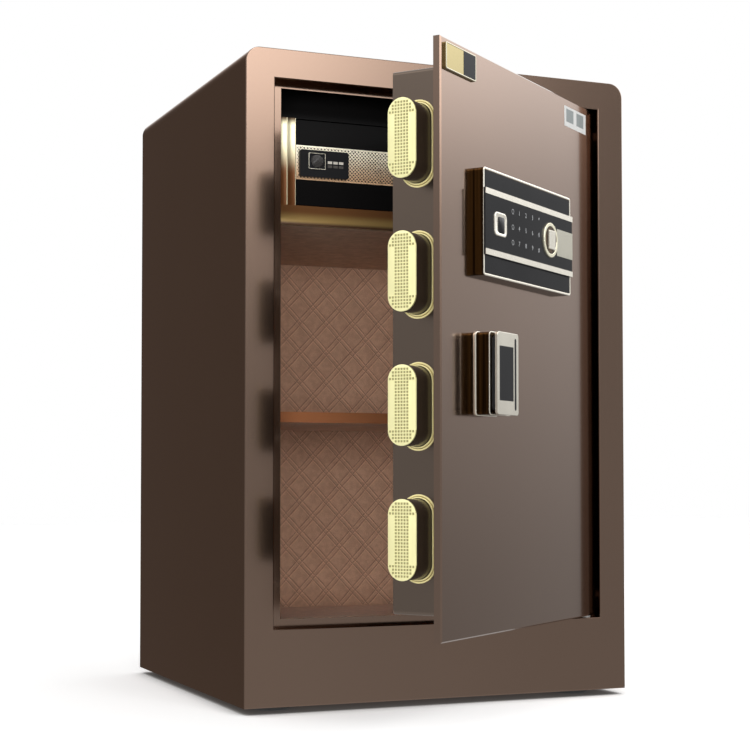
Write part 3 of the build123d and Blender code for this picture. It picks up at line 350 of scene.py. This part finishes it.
# The jamb's gold is graded by height as painted light: dark low down, then a bright painted highlight band, then
# dark painted shade at the top under the rail.
jamb_gold_painted_reflection = Finish("jamb_gold_painted_reflection", Metallic=0.6)
jamb_gold_painted_reflection.wear(Base_Color=jamb_gold_painted_reflection.by_height((0.16, 0.058, 0.018), (0.504, 0.538, (1.0, 0.93, 0.62)),
                                              (0.550, 0.558, (0.10, 0.06, 0.03))),
               Roughness=0.18 + jamb_gold_painted_reflection.noise(jamb_gold_painted_reflection.place(), 70) * 0.08)
copper_trim = plated("copper_trim", (0.52, 0.20, 0.085), 0.24, metal=0.6)
dark_chrome = plated("dark_chrome", (0.046, 0.031, 0.020), 0.20, DOOR_ANGLE, metal=0.45)
pale_zinc = plated("pale_zinc", (0.80, 0.76, 0.66), 0.20, DOOR_ANGLE, 0.06, metal=0.8)
smoked_zinc = Finish("smoked_zinc", Metallic=1.0)
x, y, z = smoked_zinc.axes(smoked_zinc.place(DOOR_ANGLE))
drawn = smoked_zinc.noise(smoked_zinc.add("ShaderNodeCombineXYZ", {}, {0: x * 420, 1: y * 420, 2: z * 6}), 1.0, 3.0)
smoked_zinc.wear(Base_Color=smoked_zinc.between(smoked_zinc.ramp(drawn, 0.35, 0.65), (0.035, 0.019, 0.007),
                                                (0.15, 0.083, 0.028)), Roughness=0.10 + drawn * 0.06)
dark_steel = plated("dark_steel", (0.20, 0.20, 0.20), 0.18)
bright_rim = plated("bright_rim", (0.92, 0.87, 0.76), 0.20, DOOR_ANGLE, metal=0.8)
cream_gold = plated("cream_gold", (0.94, 0.89, 0.68), 0.18, DOOR_ANGLE, metal=0.85)
black_gloss = moulding("black_gloss", (0.010, 0.010, 0.011), 0.10, 240, 0.00001)
black_gloss.shader.inputs["Specular IOR Level"].default_value = 0.10
panel_black = moulding("panel_black", (0.009, 0.009, 0.010), 0.07, 240, 0.000002)
panel_black.shader.inputs["Specular IOR Level"].default_value = 0.06
grey_plastic = moulding("grey_plastic", (0.10, 0.10, 0.10), 0.50)
black_rubber = moulding("black_rubber", (0.03, 0.03, 0.03), 0.75, 500, 0.0001)
cell_wrap = moulding("cell_wrap", (0.05, 0.16, 0.10), 0.30)
board_green = moulding("board_green", (0.02, 0.13, 0.06), 0.35, 900)
touch_mark = moulding("touch_mark", (0.27, 0.275, 0.28), 0.50)
label_white = moulding("label_white", (0.46, 0.46, 0.45), 0.45, 900, 0.00001)
label_grey = moulding("label_grey", (0.15, 0.17, 0.17), 0.40, 900, 0.00001)
# The keys' upper row is painted pale as a highlight; below it they are dark.
keys_painted_highlight = Finish("keys_painted_highlight", Roughness=0.35)
keys_painted_highlight.wear(Base_Color=keys_painted_highlight.by_height((0.05, 0.045, 0.04), (0.5145, 0.5155, (0.46, 0.43, 0.38))),
              Normal=keys_painted_highlight.relief(keys_painted_highlight.noise(keys_painted_highlight.place(), 900), 0.00001))
mat_leather = leatherette("mat_leather", (0.86, 0.56, 0.37))

# The locker's box is black, and leatherette covers its underside
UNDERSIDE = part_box("locker_housing")[0][2]
lined_black = Finish("lined_black", Specular_IOR_Level=0.2)
spot = lined_black.place()
creases = lined_black.noise(spot, 150, 3.0, 0.6)
cloud = lined_black.noise(spot, 70, 3.0)
lined = lined_black.ramp(lined_black.axes(spot)[2], UNDERSIDE + 0.0001, UNDERSIDE + 0.0003, 1.0, 0.0)
cover = lined_black.between(lined_black.ramp(cloud * 0.5 + creases * 0.5, 0.32, 0.68), (0.54, 0.39, 0.295),
                            (0.72, 0.53, 0.405))
lined_black.wear(Base_Color=lined_black.between(lined, BLACK, cover),
                 Roughness=0.22 + lined * (0.34 + creases * 0.1),
                 Normal=lined_black.relief(creases * lined, 0.0004))

CARRIED = {
    brown_enamel: ("outer_shell", "back_panel", "front_frame", "floor_deck"),
    door_enamel: ("door_plate",),
    box_enamel: ("door_box", "back_cover"),
    black_enamel: ("locker_front", "locker_door"),
    lined_black: ("locker_housing",),
    bright_steel: ("shelf_pins", "hinge_pins", "cover_screws", "dead_bar", "guide_posts", "bolt_bar",
                   "handle_spindle", "drive_crank", "locker_hinge_pins", "locker_latch", "override_plug",
                   "solenoid_plunger"),
    hinge_bronze: ("hinge_bushes",),
    ring_gold: ("bolt_rings",),
    badge_gold: ("badge_plate",),
    cream_gold: ("key_ring",),
    bright_rim: ("panel_strips", "finger_bezel"),
    satin_zinc: ("label_tab",),
    dark_steel: ("locker_knob",),
    keys_painted_highlight: ("locker_keys",),
    cap_gold: ("bolt_caps",),
    trim_gold_painted_reflection: ("locker_trim", "locker_fixed_mesh", "locker_door_mesh"),
    copper_trim: ("shelf_trim",),
    dark_chrome: ("bolt_shafts",),
    smoked_zinc: ("handle_base", "override_knob", "panel_housing"),
    pale_zinc: ("handle_grip", "override_grip"),
    black_gloss: ("locker_lock", "handle_inlay", "finger_sensor"),
    panel_black: ("panel_glass", "panel_band"),
    grey_plastic: ("battery_box", "battery_hatch", "solenoid"),
    black_rubber: ("rubber_feet", "anchor_plugs"),
    cell_wrap: ("batteries",),
    board_green: ("control_board",),
    mat_leather: ("floor_mat", "shelf_board", "lining_left", "lining_right", "lining_back", "lining_top"),
}
for finish, names in CARRIED.items():
    for name in names:
        nodes[name].data.materials.clear()
        nodes[name].data.materials.append(finish.block)


# ---------------------------------------------------------------- making pieces
def seat(work, origin, across, up):
    """Stands a shape, made lying on its back, at a place, across and up along two directions."""
    out = across.cross(up)
    turn = Matrix((across, up, out)).transposed().to_4x4()
    bmesh.ops.transform(work, matrix=Matrix.Translation(origin) @ turn, verts=work.verts)
    return work


def finished(name, work, finishes, body, frame_of=CABINET, sharp=0.6, stands_for=()):
    """Makes the piece of the shape, with soft shading apart from its sharp edges."""
    for edge in work.edges:
        edge.smooth = not (len(edge.link_faces) == 2 and edge.calc_face_angle() > sharp)
    for face in work.faces:
        face.smooth = True
    bmesh.ops.transform(work, matrix=TO_METRES @ frame_of, verts=work.verts)
    work.normal_update()
    mesh = bpy.data.meshes.new(name)
    work.to_mesh(mesh)
    work.free()
    for finish in finishes:
        mesh.materials.append(finish.block)
    obj = bpy.data.objects.new(name, mesh)
    bpy.context.scene.collection.objects.link(obj)
    if stands_for:
        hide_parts(*stands_for)
    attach(obj, body)
    return obj


def rounded_face(work, width, height, corner, steps=6):
    """A flat face with round corners, around the origin."""
    made = bmesh.ops.create_grid(work, x_segments=1, y_segments=1, size=0.5)
    bmesh.ops.scale(work, vec=(width, height, 1), verts=made["verts"])
    if corner:
        bmesh.ops.bevel(work, geom=made["verts"], offset=min(corner, 0.4999 * min(width, height)),
                        segments=steps, profile=0.5, affect="VERTICES", material=-1)
        bmesh.ops.remove_doubles(work, verts=work.verts[:], dist=0.05)
    return work


def corners(grown):
    """The corners that an extrusion made."""
    return [made for made in grown["geom"] if isinstance(made, bmesh.types.BMVert)]


def ease(work, edges, size, steps=2):
    """Rounds edges."""
    bmesh.ops.bevel(work, geom=edges, offset=size, segments=steps, profile=0.5, affect="EDGES", material=-1)


def level_edges(work, height):
    """Edges that lie at a height of the lying shape."""
    return [e for e in work.edges if all(abs(v.co.z - height) < 1e-5 for v in e.verts)]


def slab(width, height, thick, corner=0.0, rim=0.0, steps=6):
    """A plate with round corners and an eased front rim, on its back."""
    work = rounded_face(bmesh.new(), width, height, corner, steps)
    grown = bmesh.ops.extrude_face_region(work, geom=work.faces[:])
    bmesh.ops.translate(work, vec=(0, 0, thick), verts=corners(grown))
    bmesh.ops.recalc_face_normals(work, faces=work.faces)
    if rim:
        ease(work, level_edges(work, thick), rim)
    return work


def hoop(width, height, wall, thick, corner=0.0, rim=0.0, steps=6):
    """A flat frame with round corners, on its back."""
    work = rounded_face(bmesh.new(), width, height, corner, steps)
    inner = work.faces[:]
    bmesh.ops.inset_region(work, faces=inner, thickness=wall, use_boundary=True, use_even_offset=True)
    bmesh.ops.delete(work, geom=inner, context="FACES_ONLY")
    grown = bmesh.ops.extrude_face_region(work, geom=work.faces[:])
    bmesh.ops.translate(work, vec=(0, 0, thick), verts=corners(grown))
    bmesh.ops.recalc_face_normals(work, faces=work.faces)
    if rim:
        loops = [e for e in level_edges(work, thick)
                 if len(e.link_faces) == 2 and e.calc_face_angle() > 0.8]
        ease(work, loops, rim)
    return work


def close_back(work):
    """Closes the open back of a lying shape with one face."""
    bmesh.ops.edgeloop_fill(work, edges=[e for e in work.edges if len(e.link_faces) == 1])


def join(work, other):
    """Adds another shape to this one."""
    spare = bpy.data.meshes.new("spare")
    shades = [face.material_index for face in other.faces]
    other.to_mesh(spare)
    other.free()
    first = len(work.faces)
    work.from_mesh(spare)
    bpy.data.meshes.remove(spare)
    work.faces.ensure_lookup_table()
    for place, shade in enumerate(shades):
        work.faces[first + place].material_index = shade
    return work


# ---------------------------------------------------------------- quilted linings, mat and shelf
DIAMOND = (32.5, 34.0)
SEAM_PLACES = tuple(side / 1000 for side in DIAMOND)
QUILT_DEPTH = 2.2     # the seams lie this far below the crests
RIM_FADE = 9.0        # the quilting flattens out over this distance from a board's rim


def puff(u, v):
    """Height of the quilting from 0 at a seam to 1 in the middle of a diamond."""
    a = abs(sin(pi * (u / DIAMOND[0] + v / DIAMOND[1])))
    b = abs(sin(pi * (u / DIAMOND[0] - v / DIAMOND[1])))
    return (a * b) ** 0.42


def quilted(name, width, height, thick, origin, across, up, finish, stands_for):
    """A padded board with quilted front, whose diamonds line up with the finish's seams."""
    step = 2.1
    work = bmesh.new()
    bmesh.ops.create_grid(work, x_segments=round(width / step), y_segments=round(height / step), size=0.5)
    bmesh.ops.scale(work, vec=(width, height, 1), verts=work.verts)
    rim = [e for e in work.edges if len(e.link_faces) == 1]
    sides = bmesh.ops.extrude_edge_only(work, edges=rim)
    bmesh.ops.translate(work, vec=(0, 0, -thick), verts=corners(sides))
    close_back(work)
    seat(work, origin, across, up)
    out = across.cross(up)
    start = Vector(origin)
    for vert in work.verts:
        flat = vert.co - start
        if flat.dot(out) < -0.5:
            continue
        place = CABINET @ vert.co
        near = min(width / 2 - abs(flat.dot(across)), height / 2 - abs(flat.dot(up)))
        fade = min(1.0, near / RIM_FADE)
        raised = puff(place.dot(across), place.dot(up)) * fade
        vert.co -= out * (QUILT_DEPTH * (1 - raised))
    bmesh.ops.recalc_face_normals(work, faces=work.faces)
    piece = finished(name, work, [finish], "cabinet", sharp=1.2, stands_for=stands_for)
    return piece


LEATHER = (0.62, 0.375, 0.255)
facing_leather = leatherette("facing_leather", LEATHER, (0, 2, *SEAM_PLACES))
side_leather = leatherette("side_leather", LEATHER, (1, 2, *SEAM_PLACES))
roof_leather = leatherette("roof_leather", LEATHER, (0, 1, *SEAM_PLACES))
quilted("quilted_back_board", 377, 529.5, 11, (0, 347, 327.25), RIGHT, UP, facing_leather, ["lining_back"])
quilted("quilted_left_board", 327, 529.5, 5, (-188.5, 183.5, 327.25), BACK, UP, side_leather, ["lining_left"])
quilted("quilted_right_board", 327, 529.5, 5, (188.5, 183.5, 327.25), -BACK, UP, side_leather,
        ["lining_right"])
quilted("quilted_roof_board", 367, 326, 5, (0, 183.5, 597), RIGHT, -BACK, roof_leather, ["lining_top"])


CUTS = (3.5, 6, 8.5, 11, 14, 18)    # extra edges at these distances from a pad's sides, for its crown
ROLL = 14.0                         # the crown falls away over this distance from the sides


def cushioned(name, low, high, finish, stands_for, crown, corner):
    """A wrapped pad between two corners: rolled edges and a slightly crowned top."""
    width, depth, thick = (high[k] - low[k] for k in range(3))
    work = slab(width, depth, thick, corner, 0.0)
    ease(work, level_edges(work, thick) + level_edges(work, 0.0), min(thick * 0.4, 2.5), 3)
    for side, half in ((RIGHT, width / 2), (BACK, depth / 2)):
        for inward in CUTS:
            for way in (1, -1):
                bmesh.ops.bisect_plane(work, geom=work.verts[:] + work.edges[:] + work.faces[:],
                                       plane_co=side * (way * (half - inward)), plane_no=side)
    for vert in work.verts:
        if vert.co.z > thick - 0.01:
            near = min(width / 2 - abs(vert.co.x), depth / 2 - abs(vert.co.y))
            vert.co.z -= crown * max(0.0, 1 - near / ROLL) ** 2
    bmesh.ops.remove_doubles(work, verts=work.verts[:], dist=0.02)
    seat(work, ((low[0] + high[0]) / 2, (low[1] + high[1]) / 2, low[2]), RIGHT, BACK)
    piece = finished(name, work, [finish], "cabinet", stands_for=stands_for)
    return piece


cushioned("padded_floor_mat", (-187.5, 21, 62.5), (187.5, 346, 67.5), mat_leather, ["floor_mat"],
          0.8, 6)
cushioned("padded_shelf_board", (-188, 66, 267), (188, 346.5, 275), mat_leather, ["shelf_board"],
          0.8, 1.5)


# ---------------------------------------------------------------- locking bolts
BOLT_LEVELS = (162.25, 272.75, 383.25, 493.75)
FACING_FREE = -BACK    # the across direction of pieces that face the door's free edge
BOLT_DEPTH = 31.5      # the bolts' middle
BOX_SIDE = -302.5      # the free side of the door's box, which the rings lie on
CAP_SEAT = -330.5      # where a cap meets its shaft
CAP = (26, 67, 1.8)    # width, height and thickness
PITS = (9, 25)         # columns and rows, before the pad is cut to shape
PIT_PITCH = 2.7
PAD_END = 11.2         # radius of the pad's round ends


def bolt_cap(level):
    """A stadium cap with a raised pad of square pits: narrow along its straight part, full at its round ends. The
    pits take a darker gold as painted shade.
    """
    cap = slab(*CAP, CAP[0] / 2, 0.35, 12)
    pad = bmesh.new()
    bmesh.ops.create_grid(pad, x_segments=PITS[0], y_segments=PITS[1], size=0.5)
    bmesh.ops.scale(pad, vec=(PITS[0] * PIT_PITCH, PITS[1] * PIT_PITCH, 1), verts=pad.verts)
    straight = (CAP[1] - CAP[0]) / 2
    plain = []
    for face in pad.faces:
        spot = face.calc_center_median()
        beside = abs(spot.y) < 20 and abs(spot.x) > 2.2 * PIT_PITCH
        if beside or hypot(spot.x, max(0, abs(spot.y) - straight)) > PAD_END:
            plain.append(face)
    bmesh.ops.delete(pad, geom=plain, context="FACES")
    pits = pad.faces[:]
    skirt = bmesh.ops.extrude_edge_only(pad, edges=[e for e in pad.edges if len(e.link_faces) == 1])
    bmesh.ops.translate(pad, vec=(0, 0, -0.3), verts=corners(skirt))
    bmesh.ops.inset_individual(pad, faces=pits, thickness=0.52)
    bmesh.ops.inset_individual(pad, faces=pits, thickness=0.12, depth=-0.14)
    close_back(pad)
    bmesh.ops.recalc_face_normals(pad, faces=pad.faces)
    # The recessed pits take the darker second finish as painted shade.
    for face in pits:
        face.material_index = 1
    bmesh.ops.translate(pad, vec=(0, 0, 2.0), verts=pad.verts)
    join(cap, pad)
    return seat(cap, (CAP_SEAT, BOLT_DEPTH, level), FACING_FREE, UP)


caps = bmesh.new()
for level in BOLT_LEVELS:
    join(caps, bolt_cap(level))
finished("studded_bolt_caps", caps, [cap_gold, cap_pit_painted_shade], "bolts", DOOR, 0.5, ["bolt_caps"])

rings = bmesh.new()
for level in BOLT_LEVELS:
    # The middle hoop lies lowest, in the groove between the others, and takes the dark second finish as painted
    # shade.
    for width, height, wall, proud, rim, shade in ((33.4, 74.4, 1.6, 1.2, 0.5, 0), (32.2, 73.2, 2.7, 0.4, 0.0, 1),
                                                   (29.4, 70.4, 1.4, 2.2, 0.5, 0)):
        ring = hoop(width, height, wall, proud, width / 2, rim, 14)
        for face in ring.faces:
            face.material_index = shade
        join(rings, seat(ring, (BOX_SIDE, BOLT_DEPTH, level), FACING_FREE, UP))
finished("polished_bolt_rings", rings, [ring_gold, ring_groove_painted_shade], "door", DOOR, 0.9, ["bolt_rings"])


# ---------------------------------------------------------------- handle
def on_door(work, x, z, proud):
    """Sets a lying shape on the door's outer face, proud of it."""
    return seat(work, (x, -proud, z), RIGHT, UP)


HANDLE = (-239.0, 301.8)
rims = on_door(hoop(43.4, 71.9, 1.0, 1.4, 3.8, 0.4), *HANDLE, 0.0)
join(rims, on_door(hoop(42.6, 71.1, 1.0, 0.8, 3.3, 0.3), *HANDLE, 13.3))
finished("handle_base_rims", rims, [bright_rim], "door", DOOR)
neck = on_door(hoop(34.6, 63.1, 0.8, 4.4, 3.3), *HANDLE, 14.5)
join(neck, on_door(slab(3.6, 62.0, 0.6, 1.79), HANDLE[0] + 14.5, HANDLE[1], 20.95))
finished("handle_neck_sleeve", neck, [black_gloss], "handle", DOOR)

# ---------------------------------------------------------------- touch panel
PANEL = (-167.2, 431.4)
finished("panel_edge_trim", on_door(hoop(188.7, 92.7, 1.9, 0.5, 3.1, 0.2), *PANEL, 8.9), [bright_rim], "door",
         DOOR)

window = slab(24.5, 20.5, 0.9, 5, 0.3)
pane = max(window.faces, key=lambda f: f.calc_center_median().z)
bmesh.ops.inset_region(window, faces=[pane], thickness=1.2)
bmesh.ops.inset_region(window, faces=[pane], thickness=2.6, depth=-0.75)
finished("finger_window_dish", on_door(window, PANEL[0] - 65.3, PANEL[1], 11.0), [bright_rim], "door",
         DOOR, 0.5, ["finger_bezel"])
finished("finger_window_glass", on_door(slab(12.6, 14.6, 0.35, 2.2, 0.1), PANEL[0] - 63.2, PANEL[1] - 0.6, 11.2),
         [black_gloss], "door", DOOR, stands_for=["finger_sensor"])


def mark(text, size):
    """A touch mark as a thin mesh."""
    curve = bpy.data.curves.new("mark", "FONT")
    curve.body = text
    curve.size = size
    curve.align_x = "CENTER"
    curve.align_y = "CENTER"
    curve.extrude = 0.03
    curve.resolution_u = 3
    holder = bpy.data.objects.new("mark", curve)
    bpy.context.scene.collection.objects.link(holder)
    mesh = bpy.data.meshes.new_from_object(holder)
    work = bmesh.new()
    work.from_mesh(mesh)
    bpy.data.objects.remove(holder)
    bpy.data.meshes.remove(mesh)
    bpy.data.curves.remove(curve)
    return work


MARK_COLUMNS = (-206.0, -192.5, -178.3, -164.1, -149.9)
MARK_ROWS = (446.5, 432.9, 419.3)
marks = bmesh.new()
for level, line in zip(MARK_ROWS, ("123*", "4560", "789#")):
    for across, text in zip(MARK_COLUMNS[1:], line):
        join(marks, on_door(mark(text, 6.0), across, level, 11.05))
    join(marks, on_door(hoop(4.6, 4.6, 0.45, 0.06, 2.29), MARK_COLUMNS[0], level, 11.02))
finished("touch_marks", marks, [touch_mark], "door", DOOR)

# ---------------------------------------------------------------- bare plate at the door's top corner
BADGE = (-289.0, 561.85)
finished("corner_plate_rim", on_door(hoop(56, 22.5, 1.1, 0.5, 1.5, 0.2), *BADGE, 1.9), [badge_rim], "door",
         DOOR)
finished("corner_plate_field", on_door(slab(22.5, 20.4, 0.35, 0.0), BADGE[0] + 15.6, BADGE[1], 1.95), [panel_black],
         "door", DOOR)

# ---------------------------------------------------------------- blank label near the hinge side
LABEL = (-37.5, 560.3)
label = on_door(slab(53, 19.5, 0.12, 0.6), *LABEL, 0.0)
for middle in (-13.2, 11.8):
    panels = on_door(slab(17.5, 12.5, 0.05, 0.0), LABEL[0] + middle, LABEL[1] + 1.2, 0.11)
    for face in panels.faces:
        face.material_index = 1
    join(label, panels)
finished("blank_label", label, [label_white, label_grey], "door", DOOR)

# ---------------------------------------------------------------- inner locker
def fluted(width, height, lanes, deep, hollow, shade):
    """A closed strip with a round channel down each lane and narrow lips between, which take the second finish."""
    lip = 0.4
    lane = width / lanes
    work = bmesh.new()
    bmesh.ops.create_grid(work, x_segments=lanes * 20, y_segments=1, size=0.5)
    bmesh.ops.scale(work, vec=(width, height, 1), verts=work.verts)
    edges = [e for e in work.edges if len(e.link_faces) == 1]
    skirt = bmesh.ops.extrude_edge_only(work, edges=edges)
    low = set(corners(skirt))
    for vert in work.verts:
        if vert not in low:
            along = (vert.co.x + width / 2) % lane
            inside = max(0.0, min(along, lane - along) - lip)
            vert.co.z = deep * (1 - hollow * sin(pi * inside / (lane - 2 * lip)))
    close_back(work)
    bmesh.ops.recalc_face_normals(work, faces=work.faces)
    for face in work.faces:
        along = (face.calc_center_median().x + width / 2) % lane
        face.material_index = shade if lip < along < lane - lip else 1
    return work


LOCKER_FACE = 66      # behind the cabinet's front
LOCKER_MID = 516
trim = seat(fluted(26, 84, 3, 2.0, 0.2, 0), (-139, LOCKER_FACE, LOCKER_MID), RIGHT, UP)
join(trim, seat(fluted(8, 84, 1, 2.0, 0.14, 0), (-10, LOCKER_FACE, LOCKER_MID), RIGHT, UP))
join(trim, seat(fluted(19, 377, 1, 2.0, 0.6, 2), (0, LOCKER_FACE, 464.5), UP, -RIGHT))
finished("locker_trim_strips", trim, [jamb_gold_painted_reflection, trim_lip, trim_gold_painted_reflection], "cabinet",
         stands_for=["locker_trim"])
finished("locker_lock_bezel", seat(hoop(17.6, 16.0, 0.9, 0.8, 1.0, 0.3), (-105, 61.5, 517.3), RIGHT, UP),
         [satin_zinc], "locker_leaf")

# The pierced strips' gold grows paler towards the top as a painted reflection.
mesh_gold_painted_reflection = Finish("mesh_gold_painted_reflection", Metallic=0.55)
mesh_gold_painted_reflection.wear(Base_Color=mesh_gold_painted_reflection.by_height((0.80, 0.52, 0.31), (0.500, 0.531, (1.0, 0.93, 0.74))),
               Roughness=0.24 + mesh_gold_painted_reflection.noise(mesh_gold_painted_reflection.place(), 90) * 0.1)
# Near black: painted shade on the floors of the mesh holes.
mesh_hole_painted_shade = moulding("mesh_hole_painted_shade", (0.02, 0.012, 0.008), 0.5)


def pierced_strip(width, height):
    """A strip of pierced sheet: small diamond holes between diagonal bars. The holes are shallow dimples whose
    near-black floors are painted shade.
    """
    pitch = 2.5
    work = bmesh.new()
    count = int((width + height) / pitch / 2 ** 0.5) + 4
    bmesh.ops.create_grid(work, x_segments=count, y_segments=count, size=0.5)
    bmesh.ops.scale(work, vec=(count * pitch, count * pitch, 1), verts=work.verts)
    bmesh.ops.rotate(work, cent=(0, 0, 0), matrix=Matrix.Rotation(pi / 4, 3, "Z"), verts=work.verts)
    far = [f for f in work.faces if abs(f.calc_center_median().x) > width / 2 + 2
           or abs(f.calc_center_median().y) > height / 2 + 2]
    bmesh.ops.delete(work, geom=far, context="FACES")
    holes = work.faces[:]
    bmesh.ops.inset_individual(work, faces=holes, thickness=0.52)
    bmesh.ops.inset_individual(work, faces=holes, thickness=0.12, depth=-0.7)
    # The hole floors take the near-black second finish: painted shade in the holes.
    for face in holes:
        face.material_index = 1
    for spot, away in (((width / 2, 0, 0), (1, 0, 0)), ((-width / 2, 0, 0), (-1, 0, 0)),
                       ((0, height / 2, 0), (0, 1, 0)), ((0, -height / 2, 0), (0, -1, 0))):
        bmesh.ops.bisect_plane(work, geom=work.verts[:] + work.edges[:] + work.faces[:], plane_co=spot,
                               plane_no=away, clear_outer=True)
    bmesh.ops.translate(work, vec=(0, 0, 1.0), verts=work.verts)
    skirt = bmesh.ops.extrude_edge_only(work, edges=[e for e in work.edges if len(e.link_faces) == 1])
    for vert in corners(skirt):
        vert.co.z = 0.0
    close_back(work)
    bmesh.ops.recalc_face_normals(work, faces=work.faces)
    return join(work, hoop(width + 1.6, height + 1.6, 1.0, 1.2, 0.0, 0.25))


finished("fixed_mesh_strip", seat(pierced_strip(192.5, 31.4), (91.25, LOCKER_FACE, LOCKER_MID), RIGHT, UP),
         [mesh_gold_painted_reflection, mesh_hole_painted_shade], "cabinet", stands_for=["locker_fixed_mesh"])
finished("door_mesh_strip", seat(pierced_strip(103.0, 31.4), (-72.5, LOCKER_FACE, LOCKER_MID), RIGHT, UP),
         [mesh_gold_painted_reflection, mesh_hole_painted_shade], "locker_leaf", stands_for=["locker_door_mesh"])

# ---------------------------------------------------------------- floor
floor_painted_contact_shadow = Finish("pale_floor", Roughness=0.85, Specular_IOR_Level=0.2)
seen = floor_painted_contact_shadow.add("ShaderNodeLightPath", output="Is Camera Ray")
# Ambient occlusion darkens the floor's colour and glow next to the cabinet: a painted contact shadow.
clear = floor_painted_contact_shadow.ramp(floor_painted_contact_shadow.add("ShaderNodeAmbientOcclusion", {"samples": 12}, {"Distance": 0.035}, "AO"),
                          0.1, 0.85)
floor_painted_contact_shadow.wear(
    Base_Color=floor_painted_contact_shadow.between(seen, (0.16, 0.16, 0.16),
                                    floor_painted_contact_shadow.between(clear, (0.16, 0.155, 0.15), (0.97, 0.97, 0.97))),
    Emission_Color=floor_painted_contact_shadow.between(seen, (0.0, 0.0, 0.0),
                                        floor_painted_contact_shadow.between(clear, (0.02, 0.02, 0.02), (0.28, 0.28, 0.28))))
floor_painted_contact_shadow.shader.inputs["Emission Strength"].default_value = 1.0
floor = bmesh.new()
bmesh.ops.create_grid(floor, x_segments=1, y_segments=1, size=6)
floor_mesh = bpy.data.meshes.new("studio_floor")
floor.to_mesh(floor_mesh)
floor.free()
floor_mesh.materials.append(floor_painted_contact_shadow.block)
floor_object = bpy.data.objects.new("studio_floor", floor_mesh)
bpy.context.scene.collection.objects.link(floor_object)
floor_object.visible_glossy = False
